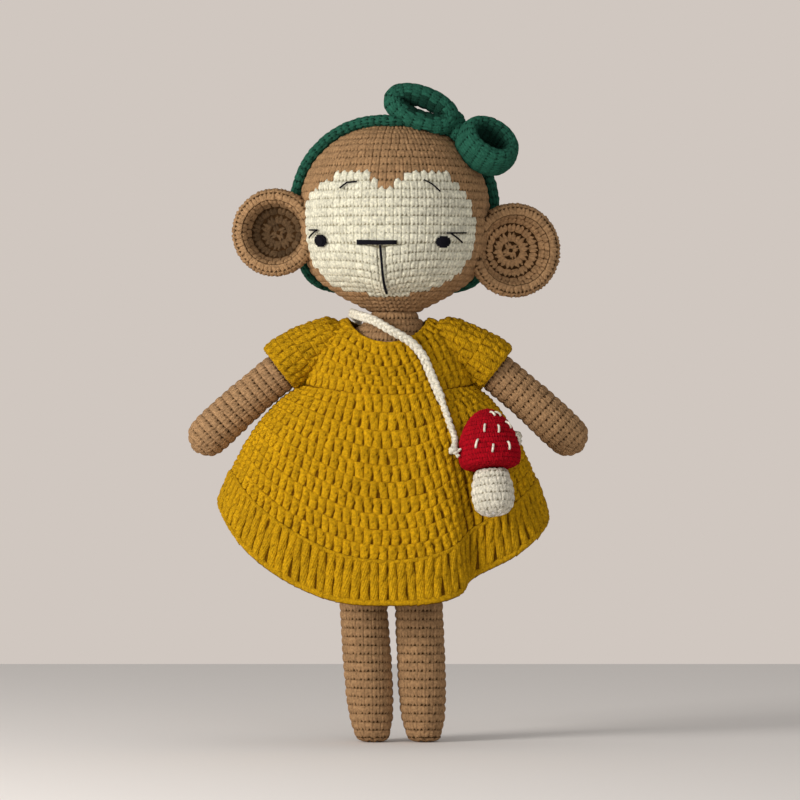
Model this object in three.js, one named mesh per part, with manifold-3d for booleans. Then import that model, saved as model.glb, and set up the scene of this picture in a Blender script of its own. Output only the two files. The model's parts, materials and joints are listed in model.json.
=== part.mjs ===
// A crocheted monkey doll in a dress, with a headband and a mushroom bag. Millimetres, +Z up.
// The doll stands on its soles and faces -Y. Its own left side is at +X.
import * as THREE from "three";
import Module from "manifold-3d";
import { mergeVertices } from "three/addons/utils/BufferGeometryUtils.js";

const wasm = await Module();
wasm.setup();

// Clearances
const SEAM_GAP = 0.35; // between two pieces that touch or are sewn together
const TRIM_LIFT = 0.45; // below a stitch or a cord that lies on a surface
const FILL_GAP = 0.5; // between a skin and its stuffing

// Fabric thickness
const SKIN_WALL = 2.0;
const FACE_WALL = 1.8;
const BAG_WALL = 1.6;
const DRESS_WALL = 2.8;
const SLEEVE_WALL = 1.8;

// Legs
const SOLE_RADIUS = 7;
const LEG_RADIUS = 11.5;
const LEG_SPACING = 26.4;
const HIP_HEIGHT = 90;
const HIP_SOCKET_GAP = 0.5;
const LEG_MOUTH = 4;
const LEG_LEAN_RIGHT = 6.2; // how far each sole stands to the doll's left of its hip
const LEG_LEAN_LEFT = 3.4;

// Torso and neck
const TORSO_BOTTOM = 96;
const TORSO_RADIUS = 26;
const TORSO_DEPTH_RATIO = 0.92;
const SHOULDER_HEIGHT = 184.5;
const NECK_RADIUS = 10;
const NECK_SHIFT = 3; // the neck leans a little to the doll's left
const NECK_INSERT = 6.5; // length of neck inside the head
const NECK_MOUTH = 6.5;

// Head
const HEAD_RADIUS = 44;
const HEAD_HALF_HEIGHT = 42;
const HEAD_DEPTH_RATIO = 0.98;
const HEAD_BOTTOM = 203;
const CROWN_POWER = 2;
const JAW_POWER = 3;
const HEAD_TURN = -10.5; // degrees from straight ahead, towards the doll's right

// Face panel: height above the middle of the head, and its right and left edges in degrees
const FACE_ROWS = [
  [-40, -20, 27],
  [-38, -48, 46],
  [-34.5, -68, 57],
  [-28.5, -73, 64],
  [-20, -75, 68],
  [-9.7, -75, 69],
  [-1.4, -72, 67],
  [5, -56, 59],
  [8.7, -46, 55],
  [12.4, -38, 51],
  [17, -30, 45],
];
const NOTCH_TIP = [4, 7.4];
const NOTCH_TOP = [-2.6, 10.7, 20];

// Face stitching: angles in degrees, heights above the middle of the head
const EYE_ANGLE = 41.4;
const EYE_HEIGHT = -14.9;
const EYE_RIGHT_RADII = [3.0, 2.6];
const EYE_LEFT_RADII = [3.6, 2.8];
const EYE_DEPTH = 1.3;
const NOSE_HEIGHT = -16;
const NOSE_ANGLES = [-13, 12.1];
const NOSE_THREAD = 1.15;
const MOUTH_ANGLE = 2.3;
const MOUTH_BOTTOM = -38.2;
const MOUTH_THREAD = 0.7;
const LASH_THREAD = 0.5;

// Ears
const EAR_RIGHT_RADIUS = 20.5;
const EAR_LEFT_RADIUS = 22;
const EAR_REACH = 53; // from the head's axis to the middle of an ear
const EAR_DEPTH = 13;
const EAR_BACK_Y = 0.5; // where the back of an ear stands, in front of the headband
const EAR_RIM = 7.6;
const EAR_FLOOR = 2.6;
const EAR_RIGHT_HEIGHT = -10.8;
const EAR_LEFT_HEIGHT = -19;
const EAR_TURN = 12; // degrees that each cup opens outwards

// Headband and bow
const BAND_WIDTH = 5.6;
const BAND_THICKNESS = 3.6;
const BAND_TOP_Y = -13;
const BAND_NAPE_Y = 14.5;
const BOW_STRIP = [3.4, 3.7]; // half thickness and half width of the bow's strip
const BOW_KNOT = [3.6, 4.6, 6.5];
const BOW_CENTRE = [28.5, -13.5, 37.5];
const BOW_LOOP_RIGHT = { centre: [12.2, -15.5, 49.6], long: 13.2, short: 5.9, tilt: 21, lean: 0 };
const BOW_LOOP_LEFT = { centre: [42.9, -16.5, 29.3], long: 11.6, short: 8.2, tilt: 38, lean: -12 };

// Arms
const ARM_RADIUS = 9.4;
const HAND_RADIUS = 9.9;
const ARM_PIVOT = 28.3;
const ARM_CURVE_END = [82.5, 141];
const ARM_CURVE_MIDDLE = [51, 171.5];
const ARM_MOUTH = 3.5;
const ARM_LOWERING = 2; // degrees that the arms move down until the sleeves meet the skirt

// Dress
const NECKLINE = { width: 18, front: 19.7, back: 18, top: 195.5, frontDrop: 11, backDrop: 5.5 };
const WAIST = { width: 31, depth: 26, front: 160, side: 166 };
const HEM = { right: 78.7, left: 72.7, front: 48, back: 41, bottom: 63.5, sideLift: 46, leftDrop: 5 };
const HEM_BAND_START = 0.8; // share of the skirt's length above the hem band
const HEM_BAND_EXTRA = 0.7; // how much further out the hem band stands
const SLEEVE_LENGTH = 27;
const CUFF_FLARE = 0.2; // how much wider the cuff is than the root of the sleeve
const ARMHOLE_GAP = 0.6;
const HEM_SEAM = 0.7;
// Main folds of the skirt: angle, width and depth as a share of the radius. Depth below 0 is a ridge.
const FOLDS = [
  [50, 9, 0.17],
  [74, 12, -0.05],
  [22, 12, -0.03],
  [-38, 14, 0.035],
  [-66, 12, -0.03],
  [128, 16, 0.07],
  [180, 18, -0.03],
  [-140, 18, 0.06],
];

// Strap and mushroom bag
const STRAP_RADIUS = 2.1;
const STRAP_BEND_GAP = 0.85; // cut from each length of strap where it bends as the bag swings
const KNOT_RADIUS = 2.7;
const CAP_RADIUS = 14.4;
const CAP_HEIGHT = 28;
const CAP_MOUTH = 5;
const STEM_RADIUS = 10;
const STEM_LENGTH = 22.5;
const BAG_DEPTH_RATIO = 0.85;
const BAG_CENTRE = [46.9, 125.1];
const BAG_LEAN = 4.5;
const BAG_GAP = 0.5; // to the skirt that the bag leans on
const SPOT_THREAD = 0.7;
// Where the strap is knotted on at the cap: angle and height
const KNOT_PLACES = { right: [-72, 8.5], left: [112, 13] };
// White stitches on the cap: angle and height of each end
const SPOTS = [
  [[12, 25.4], [32, 22.6]],
  [[34, 25], [58, 22]],
  [[-6, 19.4], [-9, 14.6]],
  [[24, 18.6], [20, 13.6]],
  [[52, 20.6], [62, 16.6]],
  [[-20, 12.4], [-27, 7.2]],
  [[7, 9.2], [2, 4.6]],
  [[37, 10.6], [38, 5.4]],
  [[72, 14.4], [78, 10.4]],
];

const SLEEVE_RADIUS = ARM_RADIUS + SEAM_GAP + SLEEVE_WALL;
const SLEEVE_STATIONS = [0, 0.35, 0.7, 1]; // shares of the sleeve's length

const COLOURS = {
  tan: 0xb0875f,
  cream: 0xe8ded0,
  black: 0x17151a,
  green: 0x1f4a37,
  mustard: 0xb9870f,
  red: 0xad0a1b,
  white: 0xf0e6cd,
  fibre: 0xf4f2ec,
};

function yarn(colour) {
  return new THREE.MeshStandardMaterial({ color: colour, roughness: 0.92, metalness: 0 });
}

function piece(name, geometry, colour) {
  const mesh = new THREE.Mesh(geometry, yarn(colour));
  mesh.name = name;
  return mesh;
}

// Solids from rings of points
function signedVolume(triangles) {
  let volume = 0;
  for (const [a, b, c] of triangles) {
    volume += a.dot(new THREE.Vector3().crossVectors(b, c)) / 6;
  }
  return volume;
}

// Joins rings of equal count, where a ring of one point is a pole. A loop joins the last to the first.
function loft(rings, loop = false) {
  const triangles = [];
  const pairs = loop ? rings.length : rings.length - 1;
  for (let i = 0; i < pairs; i++) {
    const near = rings[i];
    const far = rings[(i + 1) % rings.length];
    const count = Math.max(near.length, far.length);
    for (let k = 0; k < count; k++) {
      const a = near[k % near.length];
      const b = near[(k + 1) % near.length];
      const c = far[(k + 1) % far.length];
      const d = far[k % far.length];
      if (near.length > 1) triangles.push([a, b, c]);
      if (far.length > 1) triangles.push([a, c, d]);
    }
  }
  const outward = signedVolume(triangles) > 0;
  const ordered = triangles.map(([a, b, c]) => (outward ? [a, b, c] : [a, c, b]));
  return new THREE.BufferGeometry().setFromPoints(ordered.flat());
}

function ellipseRing(centre, sideA, sideB, radiusA, radiusB, count) {
  const ring = [];
  for (let i = 0; i < count; i++) {
    const angle = (2 * Math.PI * i) / count;
    const point = centre.clone();
    point.addScaledVector(sideA, radiusA * Math.cos(angle));
    point.addScaledVector(sideB, radiusB * Math.sin(angle));
    ring.push(point);
  }
  return ring;
}

// Outlines: [radius, distance] from one pole of a stuffed form to the other
function inset(outline, depth) {
  return outline.map(([r, z], i) => {
    const [r0, z0] = outline[Math.max(i - 1, 0)];
    const [r1, z1] = outline[Math.min(i + 1, outline.length - 1)];
    const length = Math.hypot(r1 - r0, z1 - z0);
    const isPole = i === 0 || i === outline.length - 1;
    const normal = isPole ? [0, i === 0 ? -1 : 1] : [(z1 - z0) / length, (r0 - r1) / length];
    return [Math.max(r - normal[0] * depth, 0), z - normal[1] * depth];
  });
}

// Ends an outline where it narrows to the mouth near its last pole.
function openAt(outline, mouth) {
  let last = outline.length - 1;
  while (outline[last][0] < mouth) last -= 1;
  const [r0, z0] = outline[last];
  const [r1, z1] = outline[last + 1];
  const share = (r0 - mouth) / (r0 - r1);
  return [...outline.slice(0, last + 1), [mouth, z0 + share * (z1 - z0)]];
}

function skinOutline(outline, wall, mouth) {
  const outside = openAt(outline, mouth);
  const inside = openAt(inset(outline, wall), mouth);
  return [...outside, ...inside.reverse()];
}

function flipped(outline) {
  return outline.map(([r, z]) => [r, -z]).reverse();
}

// Places an outline's rings by a function of radius and distance.
function formFrom(outline, ringOf) {
  const rings = outline.map(([r, z]) => {
    const ring = ringOf(r, z);
    return r === 0 ? [ring.centre] : ring.points;
  });
  return loft(rings);
}

function uprightRing(count, depthRatio = 1, shiftAt = () => 0) {
  const sideA = new THREE.Vector3(1, 0, 0);
  const sideB = new THREE.Vector3(0, 1, 0);
  return (r, z) => {
    const centre = new THREE.Vector3(shiftAt(z), 0, z);
    return { centre, points: ellipseRing(centre, sideA, sideB, r, r * depthRatio, count) };
  };
}

// Boolean work
function toSolid(geometry) {
  const bare = geometry.clone();
  bare.deleteAttribute("normal");
  bare.deleteAttribute("uv");
  const merged = mergeVertices(bare, 1e-4);
  return new wasm.Manifold(
    new wasm.Mesh({
      numProp: 3,
      vertProperties: merged.attributes.position.array,
      triVerts: new Uint32Array(merged.index.array),
    }),
  );
}

function fromSolid(solid) {
  const mesh = solid.getMesh();
  const geometry = new THREE.BufferGeometry();
  geometry.setAttribute("position", new THREE.BufferAttribute(mesh.vertProperties, 3));
  geometry.setIndex(new THREE.BufferAttribute(mesh.triVerts, 1));
  return geometry;
}

function cut(geometry, ...cutters) {
  const cutting = (solid, cutter) => solid.subtract(toSolid(cutter));
  return fromSolid(cutters.reduce(cutting, toSolid(geometry)));
}

function unite(first, second) {
  return fromSolid(toSolid(first).add(toSolid(second)));
}

function ballAt(centre, radius, segments = 16) {
  const ball = new THREE.SphereGeometry(radius, segments, segments / 2);
  return ball.translate(centre.x, centre.y, centre.z);
}

// Threads and cords
function cordAlong(points, radius, steps, sides) {
  const section = new THREE.Shape();
  for (let i = 0; i < sides; i++) {
    const angle = (2 * Math.PI * i) / sides;
    const at = [radius * Math.cos(angle), radius * Math.sin(angle)];
    if (i === 0) section.moveTo(...at);
    else section.lineTo(...at);
  }
  section.closePath();
  const extrudePath = new THREE.CatmullRomCurve3(points, false, "centripetal");
  return new THREE.ExtrudeGeometry(section, { steps, extrudePath, bevelEnabled: false });
}

// Head surface, in the head's own frame with the origin at the middle of the head
function headPower(z) {
  return z > 0 ? CROWN_POWER : JAW_POWER;
}

function headRadiusAt(z, lift = 0) {
  const share = Math.min(Math.abs(z) / (HEAD_HALF_HEIGHT + lift), 1);
  const power = headPower(z);
  return (HEAD_RADIUS + lift) * (1 - share ** power) ** (1 / power);
}

function headPoint(degrees, z, lift = 0) {
  const angle = THREE.MathUtils.degToRad(degrees);
  const radius = headRadiusAt(z, lift);
  return new THREE.Vector3(
    radius * Math.sin(angle),
    -radius * HEAD_DEPTH_RATIO * Math.cos(angle),
    z,
  );
}

function headNormal(degrees, z) {
  const along = headPoint(degrees + 1, z).sub(headPoint(degrees - 1, z));
  const up = headPoint(degrees, z + 0.5).sub(headPoint(degrees, z - 0.5));
  return along.cross(up).normalize();
}

function onHead(degrees, z, lift) {
  return headPoint(degrees, z).addScaledVector(headNormal(degrees, z), lift);
}

function headOutline(grow = 0) {
  const heights = [-1, -0.985, -0.94, -0.84, -0.68, -0.48, -0.24, 0, 0.24, 0.48, 0.68, 0.84, 0.94, 0.985, 1];
  return heights.map((share) => {
    const z = share * (HEAD_HALF_HEIGHT + grow);
    return [Math.abs(share) === 1 ? 0 : headRadiusAt(z, grow), z];
  });
}

function headForm(grow, segments) {
  return formFrom(headOutline(grow), uprightRing(segments, HEAD_DEPTH_RATIO));
}

// Rings of a patch of the head's shell between the face panel's edges
function facePatchRings(inside, outside, grow) {
  const columns = 12;
  const angleGrow = THREE.MathUtils.radToDeg(grow / HEAD_RADIUS);
  const rows = FACE_ROWS.map(([z, right, left], i) => {
    const isEnd = i === 0 ? -1 : i === FACE_ROWS.length - 1 ? 1 : 0;
    return [z + isEnd * grow, right - angleGrow, left + angleGrow];
  });
  const rowPoints = ([z, right, left], lift) => {
    const points = [];
    for (let k = 0; k <= columns; k++) {
      points.push(onHead(right + ((left - right) * k) / columns, z, lift));
    }
    return points;
  };
  return rows.map((row) => [...rowPoints(row, outside), ...rowPoints(row, -inside).reverse()]);
}

// The patch's end rows are strips, so each is closed across its width.
function facePatchSolid(inside, outside, grow) {
  const rings = facePatchRings(inside, outside, grow);
  const triangles = [];
  const quad = (a, b, c, d) => triangles.push([a, b, c], [a, c, d]);
  for (let i = 0; i + 1 < rings.length; i++) {
    for (let k = 0; k < rings[i].length; k++) {
      const next = (k + 1) % rings[i].length;
      quad(rings[i][k], rings[i][next], rings[i + 1][next], rings[i + 1][k]);
    }
  }
  const close = (ring, reverse) => {
    const half = ring.length / 2;
    for (let k = 0; k + 1 < half; k++) {
      const strip = [ring[k], ring[ring.length - 1 - k], ring[ring.length - 2 - k], ring[k + 1]];
      quad(...(reverse ? strip.reverse() : strip));
    }
  };
  close(rings[0], false);
  close(rings[rings.length - 1], true);
  const outward = signedVolume(triangles) > 0;
  const ordered = triangles.map(([a, b, c]) => (outward ? [a, b, c] : [a, c, b]));
  return new THREE.BufferGeometry().setFromPoints(ordered.flat());
}

function notchWedge(margin) {
  const [tipX, tipZ] = NOTCH_TIP;
  const [leftX, rightX, topZ] = NOTCH_TOP;
  const outline = new THREE.Shape();
  outline.moveTo(tipX, tipZ + 2 * margin);
  outline.lineTo(rightX - margin, topZ);
  outline.lineTo(leftX + margin, topZ);
  outline.closePath();
  const wedge = new THREE.ExtrudeGeometry(outline, { depth: HEAD_RADIUS, bevelEnabled: false });
  return wedge.rotateX(Math.PI / 2).translate(0, -HEAD_RADIUS / 4, 0);
}

function headSkin() {
  const outline = flipped(skinOutline(flipped(headOutline()), SKIN_WALL, NECK_RADIUS + SEAM_GAP));
  const skin = formFrom(outline, uprightRing(28, HEAD_DEPTH_RATIO));
  const margin = 1.5;
  const window = cut(facePatchSolid(SKIN_WALL + margin, margin, SEAM_GAP), notchWedge(SEAM_GAP));
  return cut(skin, window);
}

function facePanel() {
  return cut(facePatchSolid(FACE_WALL, 0, 0), notchWedge(0));
}

function headStuffing() {
  const outline = inset(headOutline(), SKIN_WALL + FILL_GAP);
  const filling = formFrom(outline, uprightRing(18, HEAD_DEPTH_RATIO));
  const reach = NECK_INSERT + SEAM_GAP;
  const socket = new THREE.CylinderGeometry(NECK_RADIUS + SEAM_GAP, NECK_RADIUS + SEAM_GAP, 2 * reach, 20);
  socket.rotateX(Math.PI / 2).translate(0, 0, -HEAD_HALF_HEIGHT);
  return cut(filling, socket);
}

// Face stitching
function turnedTo(geometry, direction, at) {
  const up = new THREE.Vector3(0, 0, 1);
  const turn = new THREE.Quaternion().setFromUnitVectors(up, direction.clone().normalize());
  return geometry.applyQuaternion(turn).translate(at.x, at.y, at.z);
}

function eye(degrees, [width, height]) {
  const profile = [[0, 0], [0.85, 0], [1, 0.3], [0.7, 0.8], [0, 1]];
  const points = profile.map(([r, z]) => new THREE.Vector2(r, z * EYE_DEPTH));
  const knot = new THREE.LatheGeometry(points, 12).rotateX(Math.PI / 2).scale(width, height, 1);
  const normal = headNormal(degrees, EYE_HEIGHT);
  return turnedTo(knot, normal, onHead(degrees, EYE_HEIGHT, TRIM_LIFT));
}

function stitchOnHead(places, radius, steps = 4) {
  const points = places.map(([degrees, z]) => onHead(degrees, z, TRIM_LIFT + radius));
  return cordAlong(points, radius, steps, 6);
}

function nose() {
  const [right, left] = NOSE_ANGLES;
  const middle = (right + left) / 2;
  return stitchOnHead([[right, NOSE_HEIGHT], [middle, NOSE_HEIGHT], [left, NOSE_HEIGHT]], NOSE_THREAD, 6);
}

function mouth() {
  const top = NOSE_HEIGHT - NOSE_THREAD - MOUTH_THREAD - SEAM_GAP;
  const places = [0, 0.35, 0.7, 1].map((share) => {
    return [MOUTH_ANGLE, top + share * (MOUTH_BOTTOM - top)];
  });
  return stitchOnHead(places, MOUTH_THREAD, 6);
}

function lashes(first, second) {
  return unite(stitchOnHead(first, LASH_THREAD, 2), stitchOnHead(second, LASH_THREAD, 2));
}

// Ears
function earCup(radius) {
  const profile = [
    [0, 0],
    [radius * 0.55, 0.6],
    [radius * 0.86, 3.4],
    [radius, 7.5],
    [radius * 0.985, EAR_DEPTH - 2.2],
    [radius - EAR_RIM * 0.5, EAR_DEPTH],
    [radius - EAR_RIM * 0.9, EAR_DEPTH - 1.6],
    [radius - EAR_RIM, EAR_DEPTH - 4.5],
    [radius * 0.45, EAR_FLOOR + 0.7],
    [0, EAR_FLOOR],
  ];
  const points = profile.map(([r, z]) => new THREE.Vector2(r, z));
  return new THREE.LatheGeometry(points, 20).rotateX(Math.PI / 2);
}

// The cup opens forwards, turned a little by the given angles, and sits against the head.
function ear(side, radius, height) {
  const cup = earCup(radius);
  cup.rotateX(Math.PI / 2);
  cup.rotateZ(THREE.MathUtils.degToRad(side * EAR_TURN));
  cup.translate(side * EAR_REACH, EAR_BACK_Y, height);
  cup.rotateZ(THREE.MathUtils.degToRad(-HEAD_TURN));
  return cut(cup, headForm(SEAM_GAP, 28));
}

// Headband
// The band runs from in front of the crown, back behind the ears, and down to the nape.
function bandY(angle) {
  return BAND_TOP_Y + (BAND_NAPE_Y - BAND_TOP_Y) * Math.abs(Math.sin(angle / 2));
}

function headSide(point, lift) {
  const power = headPower(point.z);
  const across = Math.hypot(point.x, point.y / HEAD_DEPTH_RATIO) / (HEAD_RADIUS + lift);
  return across ** power + (Math.abs(point.z) / (HEAD_HALF_HEIGHT + lift)) ** power - 1;
}

function bandPoint(angle, lift) {
  let near = 0;
  let far = 2 * HEAD_RADIUS;
  const at = (radius) => {
    return new THREE.Vector3(radius * Math.sin(angle), bandY(angle), radius * Math.cos(angle));
  };
  for (let i = 0; i < 40; i++) {
    const middle = (near + far) / 2;
    if (headSide(at(middle), lift) > 0) far = middle;
    else near = middle;
  }
  return at(near);
}

function headband(grow = 0) {
  const steps = 36;
  const thickness = BAND_THICKNESS / 2 + grow;
  const width = BAND_WIDTH / 2 + grow;
  const lift = TRIM_LIFT + BAND_THICKNESS / 2;
  const rings = [];
  for (let i = 0; i < steps; i++) {
    const angle = (2 * Math.PI * i) / steps;
    const centre = bandPoint(angle, lift);
    const out = bandPoint(angle, lift + 1).sub(bandPoint(angle, lift - 1)).normalize();
    const along = bandPoint(angle + 0.02, lift).sub(bandPoint(angle - 0.02, lift)).normalize();
    const across = new THREE.Vector3().crossVectors(along, out).normalize();
    const upright = new THREE.Vector3().crossVectors(across, along).normalize();
    rings.push(ellipseRing(centre, upright, across, thickness, width, 6));
  }
  return loft(rings, true);
}

// Bow
function bowKnot(grow = 0) {
  const knot = new THREE.SphereGeometry(1, 12, 8);
  const [width, depth, height] = BOW_KNOT;
  knot.scale(width + grow, depth + grow, height + grow);
  return knot.translate(...BOW_CENTRE);
}

function bowLoop({ centre, long, short, tilt, lean }) {
  const steps = 18;
  const [thickness, width] = BOW_STRIP;
  const rings = [];
  for (let i = 0; i < steps; i++) {
    const angle = (2 * Math.PI * i) / steps;
    const out = new THREE.Vector3(short * Math.cos(angle), 0, long * Math.sin(angle)).normalize();
    const at = new THREE.Vector3(long * Math.cos(angle), 0, short * Math.sin(angle));
    rings.push(ellipseRing(at, out, new THREE.Vector3(0, 1, 0), thickness, width, 8));
  }
  const loop = loft(rings, true);
  loop.rotateX(THREE.MathUtils.degToRad(lean));
  loop.rotateY(THREE.MathUtils.degToRad(tilt));
  return loop.translate(...centre);
}

function bowPieces() {
  const lift = SEAM_GAP;
  const seats = [headForm(lift, 28), headband(lift)];
  return [
    piece("bow_knot", cut(bowKnot(), ...seats), COLOURS.green),
    piece("bow_loop_right", cut(bowLoop(BOW_LOOP_RIGHT), bowKnot(lift), ...seats), COLOURS.green),
    piece("bow_loop_left", cut(bowLoop(BOW_LOOP_LEFT), bowKnot(lift), ...seats), COLOURS.green),
  ];
}

function head() {
  const group = new THREE.Group();
  group.position.set(NECK_SHIFT, 0, HEAD_BOTTOM + HEAD_HALF_HEIGHT);
  const turned = new THREE.Group();
  turned.rotation.z = THREE.MathUtils.degToRad(HEAD_TURN);
  turned.add(
    piece("head_skin", headSkin(), COLOURS.tan),
    piece("face_panel", facePanel(), COLOURS.cream),
    piece("head_stuffing", headStuffing(), COLOURS.fibre),
    piece("ear_right", ear(-1, EAR_RIGHT_RADIUS, EAR_RIGHT_HEIGHT), COLOURS.tan),
    piece("ear_left", ear(1, EAR_LEFT_RADIUS, EAR_LEFT_HEIGHT), COLOURS.tan),
    piece("eye_right", eye(-EYE_ANGLE, EYE_RIGHT_RADII), COLOURS.black),
    piece("eye_left", eye(EYE_ANGLE, EYE_LEFT_RADII), COLOURS.black),
    piece("nose_bar", nose(), COLOURS.black),
    piece("mouth_line", mouth(), COLOURS.black),
    piece("lashes_right", lashes([[-43, -9.9], [-52, -9.9]], [[-43.6, -10.1], [-52.8, -13.3]]), COLOURS.black),
    piece("lashes_left", lashes([[43.4, -11], [57.6, -11]], [[46.5, -11.2], [55, -15.2]]), COLOURS.black),
    piece("brow_right", stitchOnHead([[-25, 9.2], [-19.8, 11.5], [-13.6, 12.2]], LASH_THREAD), COLOURS.black),
    piece("brow_left", stitchOnHead([[29.5, 12.6], [34.5, 10.9], [39, 8.5]], LASH_THREAD), COLOURS.black),
  );
  group.add(turned);
  group.add(piece("headband", headband(), COLOURS.green), ...bowPieces());
  return group;
}

// Torso with its neck
function neckShiftAt(z) {
  const share = THREE.MathUtils.smoothstep(z, SHOULDER_HEIGHT + 2, SHOULDER_HEIGHT + 11);
  return NECK_SHIFT * share;
}

function torsoOutline() {
  const r = TORSO_RADIUS;
  const neckTop = HEAD_BOTTOM + NECK_INSERT;
  return [
    [0, TORSO_BOTTOM],
    [r - 9, TORSO_BOTTOM],
    [r - 3.5, TORSO_BOTTOM + 2.5],
    [r, TORSO_BOTTOM + 12],
    [r, TORSO_BOTTOM + 28],
    [r - 2.6, TORSO_BOTTOM + 52],
    [r - 5.2, SHOULDER_HEIGHT - 13],
    [r - 6.9, SHOULDER_HEIGHT - 3.5],
    [r - 9.4, SHOULDER_HEIGHT + 2.5],
    [NECK_RADIUS + 2.6, SHOULDER_HEIGHT + 6.5],
    [NECK_RADIUS + 0.4, SHOULDER_HEIGHT + 10],
    [NECK_RADIUS, HEAD_BOTTOM - 3],
    [NECK_RADIUS, neckTop - 1],
    [NECK_RADIUS - 1, neckTop],
    [0, neckTop],
  ];
}

function hipSockets() {
  const sides = [-1, 1];
  return sides.map((side) => ballAt(hip(side), LEG_RADIUS + HIP_SOCKET_GAP));
}

function torsoSkin() {
  const outline = skinOutline(torsoOutline(), SKIN_WALL, NECK_MOUTH);
  return cut(formFrom(outline, uprightRing(20, TORSO_DEPTH_RATIO, neckShiftAt)), ...hipSockets());
}

function torsoStuffing() {
  const outline = inset(torsoOutline(), SKIN_WALL + FILL_GAP);
  const filling = formFrom(outline, uprightRing(14, TORSO_DEPTH_RATIO, neckShiftAt));
  const wall = SKIN_WALL + FILL_GAP;
  const sides = [-1, 1];
  const seats = sides.map((side) => ballAt(hip(side), LEG_RADIUS + HIP_SOCKET_GAP + wall));
  return cut(filling, ...seats);
}

// Legs
function hip(side) {
  return new THREE.Vector3((side * LEG_SPACING) / 2, 0, HIP_HEIGHT);
}

function legOutline() {
  const r = LEG_RADIUS;
  const dome = [30, 60].map((degrees) => {
    const angle = THREE.MathUtils.degToRad(degrees);
    return [r * Math.cos(angle), HIP_HEIGHT + r * Math.sin(angle)];
  });
  return [
    [0, 0],
    [SOLE_RADIUS, 0],
    [r - 3.2, 1.6],
    [r - 2.1, 6],
    [r - 1.2, 12],
    [r - 0.5, 20],
    [r - 0.1, 33],
    [r - 0.3, 60],
    [r, HIP_HEIGHT],
    ...dome,
    [0, HIP_HEIGHT + r],
  ];
}

function leg(side, label, lean) {
  const group = new THREE.Group();
  group.position.x = hip(side).x;
  const shiftAt = (z) => lean * Math.max(1 - z / HIP_HEIGHT, 0);
  const skin = formFrom(skinOutline(legOutline(), SKIN_WALL, LEG_MOUTH), uprightRing(18, 1, shiftAt));
  const filling = formFrom(inset(legOutline(), SKIN_WALL + FILL_GAP), uprightRing(12, 1, shiftAt));
  group.add(
    piece("leg_skin_" + label, skin, COLOURS.tan),
    piece("leg_stuffing_" + label, filling, COLOURS.fibre),
  );
  return group;
}

// Arms and sleeves follow one curved axis from the shoulder.
function armAxis(side) {
  return new THREE.QuadraticBezierCurve3(
    new THREE.Vector3(side * ARM_PIVOT, 0, SHOULDER_HEIGHT),
    new THREE.Vector3(side * ARM_CURVE_MIDDLE[0], 0, ARM_CURVE_MIDDLE[1]),
    new THREE.Vector3(side * ARM_CURVE_END[0], 0, ARM_CURVE_END[1]),
  );
}

function armRing(side, count) {
  const axis = armAxis(side);
  const length = axis.getLength();
  const front = new THREE.Vector3(0, 1, 0);
  return (r, distance) => {
    const along = THREE.MathUtils.clamp(distance, 0, length);
    const tangent = axis.getTangentAt(along / length);
    const centre = axis.getPointAt(along / length).addScaledVector(tangent, distance - along);
    const up = new THREE.Vector3().crossVectors(front, tangent);
    return { centre, points: ellipseRing(centre, front, up, r, r, count) };
  };
}

function armOutline(side) {
  const length = armAxis(side).getLength();
  const at = (radius, start, degrees) => {
    const angle = THREE.MathUtils.degToRad(degrees);
    return [radius * Math.cos(angle), start + radius * Math.sin(angle)];
  };
  return [
    [0, length + HAND_RADIUS],
    at(HAND_RADIUS, length, 60),
    at(HAND_RADIUS, length, 28),
    [HAND_RADIUS, length],
    [HAND_RADIUS, length - 12],
    [ARM_RADIUS + 0.2, (length + SLEEVE_LENGTH) / 2],
    ...SLEEVE_STATIONS.map((share) => [ARM_RADIUS, share * SLEEVE_LENGTH]).reverse(),
    at(ARM_RADIUS, 0, -30),
    at(ARM_RADIUS, 0, -60),
    [0, -ARM_RADIUS],
  ];
}

function sleeve(side) {
  const stations = SLEEVE_STATIONS.map((share) => {
    return [SLEEVE_RADIUS + share * CUFF_FLARE, share * SLEEVE_LENGTH];
  });
  const inner = stations.map(([r, distance]) => [r - SLEEVE_WALL, distance]).reverse();
  const ringOf = armRing(side, 18);
  return loft([...stations, ...inner].map(([r, distance]) => ringOf(r, distance).points), true);
}

// The space that the sleeve takes up at its lowest and at rest, from which the yoke is cut
function sleeveSpaces(side) {
  const ringOf = armRing(side, 18);
  const radius = SLEEVE_RADIUS + CUFF_FLARE + ARMHOLE_GAP;
  const outline = [0, 0, 0.5, 1, 1].map((share, i) => [i % 4 === 0 ? 0 : radius, share * SLEEVE_LENGTH]);
  return [0, ARM_LOWERING].map((degrees) => {
    const space = formFrom(outline, ringOf).translate(-side * ARM_PIVOT, 0, -SHOULDER_HEIGHT);
    space.rotateY(THREE.MathUtils.degToRad(side * degrees));
    return space.translate(side * ARM_PIVOT, 0, SHOULDER_HEIGHT);
  });
}

function arm(side, label) {
  const group = new THREE.Group();
  const reversed = (outline) => outline.map(([r, z]) => [r, -z]);
  const skin = reversed(skinOutline(reversed(armOutline(side)), SKIN_WALL, ARM_MOUTH));
  const filling = reversed(inset(reversed(armOutline(side)), SKIN_WALL + FILL_GAP));
  group.add(
    piece("arm_skin_" + label, formFrom(skin, armRing(side, 14)), COLOURS.tan),
    piece("arm_stuffing_" + label, formFrom(filling, armRing(side, 12)), COLOURS.fibre),
    piece("sleeve_" + label, sleeve(side), COLOURS.mustard),
  );
  return group;
}

// Dress surface: angle 0 is the front and 90 degrees the doll's left. Length -1 is the neckline,
// 0 the waist where the skirt starts, and 1 the hem.
function superRadius(sine, cosine, width, depth, power) {
  const sum = Math.abs(sine / width) ** power + Math.abs(cosine / depth) ** power;
  return sum ** (-1 / power);
}

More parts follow.
